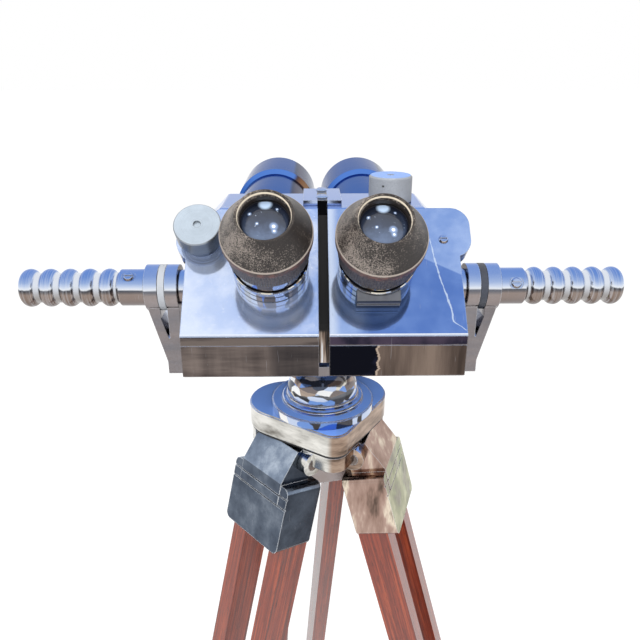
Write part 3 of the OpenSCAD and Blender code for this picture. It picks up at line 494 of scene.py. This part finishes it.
# Place across of the head plate's nose, where its rim turns
NOSE_X = 4


def plate_rim(look, colour):
    """Rim of the head plate, with painted reflections: silver to the left, pinkish brown to the right."""
    x = look.along(across, axis_place)
    side = look.step(look.math("ABSOLUTE", look.facing(UP)), 0.8, 0.6)
    waves = look.noise(1.0, 4.0, 0.6, look.point((36, 36, 120)))
    silver = look.ramp(waves, [(0.32, paint(120, 116, 110)), (0.5, paint(196, 194, 188)),
                               (0.66, paint(226, 224, 218))])
    brown = look.ramp(waves, [(0.34, paint(74, 62, 54)), (0.5, paint(150, 128, 112)),
                              (0.66, paint(182, 160, 142))])
    return look.mix(side, colour, look.mix(look.step(x, NOSE_X - 2, NOSE_X + 3), silver, brown))


def shaded_block(look, colour):
    """Leg bracket in the shade: a worn plate above with a painted sky reflection, and dark slate sides that
    are painted shade.
    """
    up = look.step(look.facing(UP), 0.2, 0.4)
    cloud = look.noise(40.0, 5.0, 0.65)
    plate = look.ramp(cloud, [(0.32, paint(98, 110, 130)), (0.5, paint(134, 148, 168)),
                              (0.68, paint(188, 200, 216))])
    slate = look.ramp(cloud, [(0.35, paint(46, 52, 62)), (0.65, paint(74, 82, 94))])
    return look.mix(up, slate, plate)


def rosy_block(look, colour):
    """Leg bracket on the sunny side: mirrors earth and grass in long waves."""
    waves = look.noise(1.0, 4.0, 0.6, look.point((60, 24, 16), (0.5, 0.7, 0.2)))
    rosy = look.ramp(waves, [(0.32, paint(64, 54, 48)), (0.42, paint(150, 124, 112)),
                             (0.52, paint(176, 150, 138)), (0.6, paint(226, 212, 192)),
                             (0.68, paint(104, 88, 76))])
    grass = look.ramp(look.noise(70.0, 4.0), [(0.35, paint(76, 84, 52)), (0.5, paint(112, 130, 72)),
                                              (0.65, paint(160, 168, 120))])
    return look.mix(look.step(look.facing(across), 0.86, 0.95), rosy, grass)


RING_PITCH = 0.35


def satin_turned(name, direction, origin, colour):
    """Bright lathe-turned metal, with fine rings about its axis, its sides painted darker as painted shade
    and a painted highlight on its edges.
    """
    look = Look(name)
    radius = look.around(direction, origin)
    turns = [look.math("DIVIDE", place, RING_PITCH) for place in (radius, look.along(direction, origin))]
    rings = look.noise(1.0, 3.0, 0.7, look.add("ShaderNodeCombineXYZ", turns))
    cloud = look.noise(70.0, 4.0, 0.6)
    shade = look.scaled(rings, 0.4, look.times(cloud, 0.6))
    tint = look.ramp(shade, [(0.3, tuple(c * 0.7 for c in colour)), (0.7, colour)])
    # Sides that don't face along the axis get painted shade
    side = look.without(look.step(look.facing(direction), 0.6, 0.9))
    tint = look.mix(look.times(side, 0.75), tint, paint(58, 54, 54))
    # Painted highlight on the edges
    tint = look.mix(look.times(look.edge(), 0.5), tint, paint(232, 236, 242))
    look.set(Base_Color=tint, Metallic=1.0, Roughness=look.scaled(rings, 0.2, 0.2))
    look.bump(rings, 0.05)
    return look


# Radius of the valleys between the ribs of a grip
GRIP_VALLEY = 10.9


def grip_look(name):
    """Ribbed grip: polished ribs, satin valleys painted lighter on top and darker below as painted light,
    fine turned lines.
    """
    def valleys(look, colour):
        radius = look.around(across, axis_place)
        lines = look.noise(1.0, 2.0, 0.6, look.point((2600, 20, 20)))
        colour = look.mix(look.times(look.step(lines, 0.45, 0.7), 0.35), colour, paint(224, 229, 238))
        # Painted light: the valleys are lighter on top and darker below
        lit = look.step(look.facing(UP), -0.5, 0.5)
        satin = look.mix(lit, paint(150, 146, 144), paint(222, 228, 238))
        return look.mix(look.without(look.step(radius, GRIP_VALLEY, GRIP_VALLEY + 1.3)), colour, satin)

    return polished(name, haze=0.06, rough=0.14, wobble=0.16, grain=(220, 20, 20), over=valleys, edges=0.1)


def enamel(name, colour, worn_colour, wear, rough=0.45, grain=950.0, depth=0.16, centre=None, extra=None):
    """Dark pebbled enamel, worn through to a lighter colour in specks; given a centre, more of the specks
    lie on its left side as painted light.
    """
    look = Look(name)
    pebbles = look.noise(grain, 3.0, 0.6)
    cloud = look.noise(45.0, 5.0, 0.7)
    level = look.scaled(cloud, 0.45, look.times(pebbles, 0.65))
    # More light specks towards the left side: wear, raised there as painted light
    if centre:
        wear_and_light = look.step(look.along(across, centre), 18.0, -24.0)
        level = look.scaled(wear_and_light, 0.085, level)
    specks = look.step(level, wear, wear + 0.07)
    tint = look.mix(look.step(pebbles, 0.35, 0.65), tuple(c * 0.4 for c in colour), colour)
    tint = look.mix(specks, tint, worn_colour)
    if extra:
        tint = extra(look, tint)
    tint = look.mix(look.times(look.edge(), 0.5), tint, worn_colour)
    look.set(Base_Color=tint, Roughness=look.scaled(pebbles, 0.25, rough - 0.1))
    look.bump(pebbles, depth)
    return look


def eyepiece(side):
    """Name, distance out from the right one's place, and foot of the eyepiece on one side."""
    name, out = ("left", LEFT_OUT) if side < 0 else ("right", 0)
    return name, out, on_slope(side * EYE_X, EYE_S, 0)


def cup_look(side):
    """Eyecup: pebbled cone, cream ring at the opening, a dark seat of painted shade, a reddish straight
    band.
    """
    name, out, centre = eyepiece(side)
    rim = EYE_H + out

    def trim(look, tint):
        height = look.along(slope_out, centre)
        radius = look.around(slope_out, centre)
        band = look.without(look.step(height, rim - 20.6, rim - 19.9))
        red = look.mix(look.step(look.noise(300.0, 3.0), 0.45, 0.6), paint(70, 50, 44), paint(112, 72, 60))
        tint = look.mix(look.times(band, 0.75), tint, red)
        tint = look.mix(look.band(height, rim - 19.4, 0.35, 0.3), tint, paint(150, 140, 132))
        lip = look.both(look.band(height, rim - 1.5, 0.5, 0.3), look.without(look.step(radius, 16.7, 17.0)))
        tint = look.mix(lip, tint, look.mix(look.noise(500.0), paint(186, 172, 152), paint(236, 226, 206)))
        # Painted shade in the seat below the rim
        seat = look.both(look.without(look.step(height, rim - 3.9, rim - 3.3)),
                         look.without(look.step(radius, 16.0, 16.6)))
        return look.mix(seat, tint, paint(38, 32, 29))

    return enamel(name + "_cup_enamel", paint(37, 31, 29), paint(128, 119, 112), 0.605, grain=1500.0,
                  centre=centre, extra=trim)


# How fast the grain of the wood changes along it and across it
GRAIN_ALONG = 0.012
GRAIN_ACROSS = 0.5


def wood(name, direction, origin):
    """Varnished dark red wood, its grain along a direction."""
    look = Look(name)
    direction = direction.normalized()
    side = direction.cross(UP).normalized()
    other = direction.cross(side)
    ways = ((direction, GRAIN_ALONG), (side, GRAIN_ACROSS), (other, GRAIN_ACROSS))
    places = [look.times(look.along(way, origin), scale) for way, scale in ways]
    stretched = look.add("ShaderNodeCombineXYZ", places)
    grain = look.noise(1.0, 5.0, 0.65, stretched)
    pores = look.noise(6.0, 2.0, 0.6, stretched)
    colour = look.ramp(grain, [(0.28, paint(58, 18, 10)), (0.5, paint(120, 44, 24)),
                               (0.7, paint(160, 74, 42))])
    colour = look.mix(look.step(pores, 0.6, 0.68), colour, paint(36, 12, 8))
    look.set(Base_Color=colour, Roughness=look.scaled(grain, 0.2, 0.24), Coat_Weight=0.5,
             Coat_Roughness=0.12)
    look.bump(look.scaled(pores, -0.5, grain), 0.15)
    return look


def matt(name, colour, rough, grain=900.0, depth=0.05, over=None):
    """Plain dull colour with a fine grain."""
    look = Look(name)
    fine = look.noise(grain, 3.0, 0.6)
    cloud = look.noise(40.0, 4.0, 0.6)
    low, high = tuple(c * 0.6 for c in colour), tuple(min(1, c * 1.35) for c in colour)
    tint = look.ramp(look.scaled(fine, 0.5, look.times(cloud, 0.5)), [(0.3, low), (0.7, high)])
    if over:
        tint = over(look, tint)
    look.set(Base_Color=tint, Roughness=look.scaled(fine, 0.2, rough - 0.1))
    look.bump(fine, depth)
    return look


def washer_sides(look, tint):
    """The left washer is light grey, the right one dark slate."""
    return look.mix(look.step(look.along(across, axis_place), 1.0, -1.0), tint, paint(168, 172, 178))


def scale_marks(look, tint):
    """Grey top plate, and two thin bright edges round the window of the scale block."""
    height = look.along(slope_out, on_slope(0, 0, 0))
    top = look.step(look.facing(slope_out), 0.8, 0.95)
    rear = look.step(look.facing(-slope_up), 0.8, 0.95)
    lines = look.math("ADD", look.band(height, 3.9, 0.2, 0.15), look.band(height, 7.6, 0.2, 0.15))
    tint = look.mix(top, tint, look.mix(look.noise(200.0), paint(72, 74, 80), paint(108, 110, 116)))
    return look.mix(look.both(rear, lines), tint, paint(150, 148, 150))


# The index dot on the filter knob, from the middle of its top rim
INDEX_PLACE = (-7, -6)


def index_dot(look, tint):
    """Filter knob: its top shows the sky as a painted reflection, its side darkens to the right as painted
    shade, and it has a small dark dot.
    """
    low, high = (Vector(corner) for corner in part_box("filter_knob"))
    place = Vector(((low.x + high.x) / 2, low.y, high.z))
    x, up = look.along(across, place), look.along(UP, place)
    # Painted shade towards the right of the side
    tint = look.mix(look.times(look.step(x, -2.0, 18.0), 0.6), tint, paint(96, 98, 104))
    tint = look.mix(look.step(look.facing(UP), 0.8, 0.9), tint, paint(118, 150, 206))
    dot = look.both(look.spot(x, up, INDEX_PLACE, 0.8), look.step(look.facing(REARWARD), 0.2, 0.4))
    return look.mix(dot, tint, paint(20, 20, 22))


# Glints and dust on an eye lens: place across and up, and size
GLINTS = (((5.4, -3.6), 1.05), ((5.8, -6.6), 0.7), ((-9.3, 5.4), 0.5), ((-4.6, -1.8), 0.45),
          ((7.2, 8.8), 0.4))


def eye_glass(name, origin):
    """Coated eye lens: deep blue grey and darker towards the top, with painted shade round its rim, a
    painted reflection of a small pale window at the top edge, painted glints, and dust.
    """
    look = Look(name)
    up = look.along(slope_up, origin)
    side = look.along(across, origin)
    radius = look.around(slope_out, origin)
    # Painted reflection of a small pale window
    window = look.spot(side, up, (0, 12.6), 3.9)
    cloud = look.noise(150.0, 4.0, 0.6)
    base = look.ramp(look.scaled(up, -0.022, look.scaled(cloud, 0.3, 0.32)),
                     [(0.2, paint(18, 22, 32)), (0.5, paint(42, 51, 69)), (0.8, paint(88, 104, 132))])
    # Painted shade round the rim
    base = look.mix(look.step(radius, 12.6, 15.0), base, paint(24, 26, 36))
    colour = look.mix(look.times(window, 0.9), base, paint(186, 208, 236))
    # Painted glints, each with a soft blue halo
    for centre, size in GLINTS:
        colour = look.mix(look.spot(side, up, centre, size * 2.4), colour, paint(112, 132, 166))
        colour = look.mix(look.spot(side, up, centre, size), colour, paint(236, 243, 252))
    dust = look.step(look.noise(520.0, 2.0), 0.72, 0.74)
    colour = look.mix(look.times(dust, 0.4), colour, paint(190, 205, 225))
    look.set(Base_Color=colour, Roughness=look.scaled(cloud, 0.04, 0.04), Coat_Weight=0.6,
             Coat_Roughness=0.02)
    return look


def clear_glass(name):
    """Prisms and objectives: faintly green, with a little dust."""
    look = Look(name)
    dust = look.noise(300.0, 4.0, 0.6)
    look.set(Base_Color=look.ramp(dust, [(0.3, (0.72, 0.82, 0.86)), (0.7, (0.86, 0.93, 0.95))]),
             Roughness=look.scaled(dust, 0.03, 0.01), Transmission_Weight=1.0, IOR=1.55)
    return look


chrome = polished("polished_chrome", haze=0.10, rough=0.07, wobble=0.30)
tube_chrome = polished("tube_chrome", haze=0.03, rough=0.07, wobble=0.08, edges=0.15, over=deep_sky)
tube_chrome.set(Specular_Tint=paint(158, 168, 190))
casting = polished("polished_casting", haze=0.22, rough=0.10, wobble=0.22, grain=(14, 14, 90))
housing = polished("polished_housing", haze=0.16, rough=0.08, wobble=0.2, grain=(14, 14, 90),
                   over=rear_wall, edges=0.07)
bridge = polished("polished_bridge", haze=0.16, rough=0.1, wobble=0.2, over=dark_gap)
left_cover = polished("hazy_left_cover", haze=0.2, rough=0.075, wobble=0.2, over=hazy_cover,
                      edges=0.1, metal=0.8)
right_cover = polished("clear_right_cover", haze=0.1, rough=0.05, wobble=0.25, over=clear_cover,
                       edges=0.1, metal=0.85)
pedestal_chrome = turned_chrome("turned_chrome")
head_chrome = turned_chrome("head_chrome", over=plate_rim)
base_chrome = turned_chrome("base_chrome", over=base_bands, cells=2.4)
leg_plate_chrome = polished("leg_plate_chrome", haze=0.16, rough=0.12, over=plate_rim)
# Matt black painted shade for the gap, with painted reflections low down
gap_shade_and_reflection = matt("gap_shade_and_reflection", paint(14, 14, 16), rough=0.5, over=gap_shades)
black_fibre = matt("black_fibre", paint(24, 23, 24), rough=0.6)
washer_fibre = matt("washer_fibre", paint(54, 58, 68), rough=0.45, over=washer_sides)
black_paint = matt("black_paint", paint(30, 29, 31), rough=0.4)
scale_paint = matt("scale_paint", paint(22, 21, 23), rough=0.4, over=scale_marks)
steel = polished("dark_steel", haze=0.3, rough=0.22, wobble=0.2, haze_colour=paint(120, 122, 128))
cast_grey = matt("cast_grey", paint(146, 150, 156), rough=0.5, grain=1500.0, depth=0.08, over=index_dot)
satin = satin_turned("satin_knob", slope_out, joint_place("eye_distance_turn"), paint(222, 236, 250))
grip_metal = grip_look("ribbed_grip")
socket_metal = polished("polished_socket", haze=0.14, rough=0.10, wobble=0.12, edges=0.3)
gunmetal = enamel("worn_gunmetal", paint(104, 96, 92), paint(150, 144, 140), 0.66, rough=0.38,
                  grain=700.0, depth=0.05)
gunmetal.set(Metallic=0.6)
left_cup, right_cup = cup_look(-1), cup_look(1)
brass = matt("machined_brass", paint(190, 158, 92), rough=0.35, grain=1200.0, depth=0.02)
brass.set(Metallic=1.0)
glass = clear_glass("clear_glass")
left_glass = eye_glass("left_eye_glass", on_slope(-EYE_X, EYE_S, 0))
right_glass = eye_glass("right_eye_glass", on_slope(EYE_X, EYE_S, 0))

LOOKS = {
    "head_plate": head_chrome, "head_gasket": black_fibre, "leg_plate": leg_plate_chrome,
    "azimuth_spindle": steel, "leg_bolts": steel, "pedestal": pedestal_chrome, "yoke": casting,
    "bridge_casting": bridge, "body_screws": chrome, "objective_lenses": glass, "erecting_prisms": glass,
    "trunnions": socket_metal, "friction_washers": washer_fibre, "scale_block": scale_paint,
    "ipd_knob": satin, "filter_knob": cast_grey}
SIDE_LOOKS = {
    "prism_housing": housing, "objective_tube": tube_chrome, "sunshade": tube_chrome,
    "handle_socket": socket_metal, "grip": grip_metal, "prism_carrier": brass, "rhomboid_prism": glass,
    "eyepiece_base": base_chrome, "lens_cell": black_paint, "focus_ring": gunmetal}
OWN_SIDE_LOOKS = {
    "left": {"prism_cover": left_cover, "eye_lens": left_glass, "eyecup": left_cup},
    "right": {"prism_cover": right_cover, "eye_lens": right_glass, "eyecup": right_cup}}
for side_name, own_looks in OWN_SIDE_LOOKS.items():
    for kind, look in {**SIDE_LOOKS, **own_looks}.items():
        LOOKS[side_name + "_" + kind] = look
BRACKETS = {
    "rear": casting,
    # The left bracket is painted as if in shade, the right one with painted sunlit reflections
    "left": polished("shaded_bracket", haze=0.1, rough=0.2, over=shaded_block, edges=0.9),
    "right": polished("rosy_bracket", haze=0.08, rough=0.1, over=rosy_block, edges=0.5)}
for leg, bracket in BRACKETS.items():
    leg_down = Vector(joints[leg + "_leg_extend"]["axis"])
    leg_wood = wood(leg + "_leg_wood", leg_down, joint_place(leg + "_leg_spread"))
    LOOKS.update({leg + "_leg_bracket": bracket, leg + "_leg_rails": leg_wood, leg + "_leg_collar": casting,
                  leg + "_leg_screw": steel, leg + "_leg_slat": leg_wood, leg + "_leg_shoe": casting})
for node, obj in nodes.items():
    obj.data.materials.clear()
    obj.data.materials.append(LOOKS[node].material)


# Pieces
def facing(direction, origin):
    """Matrix that stands a piece made about +Z on an axis."""
    return Matrix.Translation(origin) @ UP.rotation_difference(direction).to_matrix().to_4x4()


def piece(name, verts, faces, look, body, place, slot, sharp=32):
    """Mesh in millimetres, put in place and hung on its body. Edges over sharp degrees stay sharp."""
    mesh = bpy.data.meshes.new(name)
    mesh.from_pydata([place @ (MM * Vector(v)) for v in verts], [], faces)
    made = bmesh.new()
    made.from_mesh(mesh)
    bmesh.ops.recalc_face_normals(made, faces=made.faces)
    for face in made.faces:
        face.smooth = True
    for edge in made.edges:
        edge.smooth = len(edge.link_faces) == 2 and edge.calc_face_angle(0) < math.radians(sharp)
    made.to_mesh(mesh)
    made.free()
    obj = bpy.data.objects.new(name, mesh)
    bpy.context.scene.collection.objects.link(obj)
    mesh.materials.append(look.material)
    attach(obj, body)
    return obj


def lathe(name, profile, look, body, place, around, wave=None, **options):
    """Closed profile of (radius, height) turned about the axis. wave(angle, row) adds to the radius."""
    verts = []
    for i in range(around):
        angle = 2 * math.pi * i / around
        for row, (radius, height) in enumerate(profile):
            r = radius + (wave(i, row) if wave else 0)
            verts.append((r * math.cos(angle), r * math.sin(angle), height))
    rows = len(profile)
    faces = [(i * rows + a, (i + 1) % around * rows + a, (i + 1) % around * rows + (a + 1) % rows,
              i * rows + (a + 1) % rows) for i in range(around) for a in range(rows)]
    return piece(name, verts, faces, look, body, place, **options)


def arc(centre, radius, start, end, steps):
    """Points of a profile along an arc, its angles in degrees from straight outward."""
    angles = [math.radians(start + (end - start) * i / steps) for i in range(steps + 1)]
    return [(centre[0] + radius * math.cos(a), centre[1] + radius * math.sin(a)) for a in angles]


# Focus ring, by radius and by height above the sloping face
RING_RIBS = 96
RING_Z0 = 21
RING_Z1 = 38
RING_END_GAP = 0.1
RING_BORE = 24.9
RING_LIP = 26.8
RING_R = 27.0
LIP_HEIGHT = 1.2
CHAMFER = 0.6
RIB_STEP = 0.3
RIB_DEPTHS = (0.0, -0.15, -0.45, -0.45, -0.15, 0.0)
# Rows of the profile whose points follow the ribs
RIB_ROWS = (4, 5)
# Eyecup, by radius and by depth below its rim
CUP_R = 29.3
CUP_BORE = 18.3
CUP_FOOT = 25.6
BAND_TOP = 20
FOOT_ROUND = 0.8
BAND_ROUND = 1.6
RIM_R = 17.35
RIM_ROUND = 0.95
CONE_STEPS = 10
CUP_SEAT = ((15.9, 2.2), (15.3, 3.4), (15.2, 3.8), (15.2, 7), (CUP_BORE, 8))


def focus_ring(side):
    """Knurled ring: straight ribs all round, between plain chamfered lips."""
    name, out, foot = eyepiece(side)
    z0, z1 = RING_Z0 + out + RING_END_GAP, RING_Z1 + out - RING_END_GAP
    lip, edge, ribs = RING_LIP - CHAMFER, LIP_HEIGHT - CHAMFER, LIP_HEIGHT + RIB_STEP
    profile = [(RING_BORE, z0), (lip, z0), (RING_LIP, z0 + edge), (RING_LIP, z0 + LIP_HEIGHT),
               (RING_R, z0 + ribs), (RING_R, z1 - ribs), (RING_LIP, z1 - LIP_HEIGHT),
               (RING_LIP, z1 - edge), (lip, z1), (RING_BORE, z1)]

    def wave(i, row):
        return RIB_DEPTHS[i % len(RIB_DEPTHS)] if row in RIB_ROWS else 0

    obj = lathe(name + "_ribbed_ring", profile, gunmetal, name + "_focus", facing(slope_out, foot),
                RING_RIBS * len(RIB_DEPTHS), wave, sharp=50, slot="gunmetal")
    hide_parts(name + "_focus_ring")


def eyecup(side, look):
    """Cone with a straight band below, a rounded rim and a bevel down to the lens."""
    name, out, foot = eyepiece(side)
    rim_z = EYE_H + out
    band_foot, band_top = rim_z - CUP_FOOT + FOOT_ROUND, rim_z - BAND_TOP - 0.2
    profile = ([(CUP_BORE, rim_z - CUP_FOOT)] + arc((CUP_R - FOOT_ROUND, band_foot), FOOT_ROUND, -90, 0, 4)
               + arc((CUP_R - BAND_ROUND, band_top), BAND_ROUND, 0, 58, 5))
    low, high = Vector(profile[-1]), Vector((RIM_R + RIM_ROUND, rim_z - 0.9))
    profile += [tuple(low.lerp(high, i / CONE_STEPS)) for i in range(1, CONE_STEPS)]
    profile += arc((RIM_R, rim_z - RIM_ROUND), RIM_ROUND, 25, 150, 8)
    profile += [(radius, rim_z - depth) for radius, depth in CUP_SEAT]
    obj = lathe(name + "_eyecup_shell", profile, look, name + "_focus", facing(slope_out, foot), 160,
                slot="black_brown_enamel")
    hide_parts(name + "_eyecup")


for side, cup in ((-1, left_cup), (1, right_cup)):
    focus_ring(side)
    eyecup(side, cup)

# Recessed rib that closes the gap between the halves, joined to the bridge's web: a dark sheet of painted
# shade that keeps the deep gap dark
RIB_HALF = 3.35
RIB_OUTLINE = ((-46, -40), (-46, -11), (15.5, 50.5), (15.5, -40))
rib_verts = [(x, y, z) for x in (-RIB_HALF, RIB_HALF) for y, z in RIB_OUTLINE]
rib_faces = [(0, 1, 2, 3), (7, 6, 5, 4)] + [(i, (i + 1) % 4, (i + 1) % 4 + 4, i + 4) for i in range(4)]
piece("gap_shade_rib", rib_verts, rib_faces, gap_shade_and_reflection, "binocular_body", Matrix.Translation(axis_place),
      slot="black_fibre")

# Floor, light and background. The floor's glow in the picture rises between two distances
FLOOR_SIZE = 30
FLOOR_Z = -0.0005
NEAR, FAR = 500.0, 3000.0
NEAR_GLOW, FAR_GLOW = 0.36, 0.58
SOFT_LIGHT = 0.55


def backdrop_light(tree, strength):
    """Light Path mask: 1 for rays that show the background, straight on or in metal and glass."""
    path = tree.nodes.new("ShaderNodeLightPath")
    total = None
    for label in ("Is Camera Ray", "Is Glossy Ray", "Is Transmission Ray"):
        socket = path.outputs[label]
        if total is None:
            total = socket
        else:
            node = tree.nodes.new("ShaderNodeMath")
            node.operation = "MAXIMUM"
            tree.links.new(total, node.inputs[0])
            tree.links.new(socket, node.inputs[1])
            total = node.outputs[0]
    node = tree.nodes.new("ShaderNodeMath")
    node.operation = "MULTIPLY"
    node.inputs[1].default_value = strength
    tree.links.new(total, node.inputs[0])
    return node.outputs[0]


world = bpy.data.worlds.new("studio")
bpy.context.scene.world = world
world.use_nodes = True
tree = world.node_tree
background = tree.nodes["Background"]
background.inputs["Color"].default_value = (*WHITE, 1)
lift = tree.nodes.new("ShaderNodeMath")
lift.operation = "ADD"
lift.inputs[1].default_value = SOFT_LIGHT
tree.links.new(backdrop_light(tree, 1 - SOFT_LIGHT), lift.inputs[0])
tree.links.new(lift.outputs[0], background.inputs["Strength"])

floor_mesh = bpy.data.meshes.new("floor")
corners = [(x * FLOOR_SIZE, y * FLOOR_SIZE, FLOOR_Z) for x, y in ((-1, -1), (1, -1), (1, 1), (-1, 1))]
floor_mesh.from_pydata(corners, [], [(0, 1, 2, 3)])
floor = bpy.data.objects.new("floor", floor_mesh)
bpy.context.scene.collection.objects.link(floor)
floor_look = Look("pale_floor")
floor_look.set(Base_Color=(0.8, 0.8, 0.8), Roughness=0.9)
far = floor_look.step(floor_look.around(UP, Vector((0, 0, 0))), NEAR, FAR)
glow = floor_look.scaled(far, FAR_GLOW - NEAR_GLOW, NEAR_GLOW)
floor_look.set(Emission_Color=WHITE,
               Emission_Strength=floor_look.times(glow, backdrop_light(floor_look.tree, 1.0)))
floor_mesh.materials.append(floor_look.material)


def lamp(name, place, target, size, power):
    """Area lamp that lights the object and stays out of its mirror images."""
    data = bpy.data.lights.new(name, "AREA")
    data.size = size
    data.energy = power
    obj = bpy.data.objects.new(name, data)
    obj.location = place
    obj.rotation_euler = (Vector(target) - Vector(place)).to_track_quat("-Z", "Y").to_euler()
    obj.visible_glossy = False
    bpy.context.scene.collection.objects.link(obj)


lamp("key", from_axis(-900, -500, 1300), axis_place, 0.8, 14)
lamp("fill", from_axis(1100, -300, 1000), axis_place, 0.7, 7)
lamp("back", from_axis(200, 1500, 1400), axis_place, 1.0, 12)
lamp("low", from_axis(0, -1200, 430), from_axis(0, 0, -120), 0.5, 15)
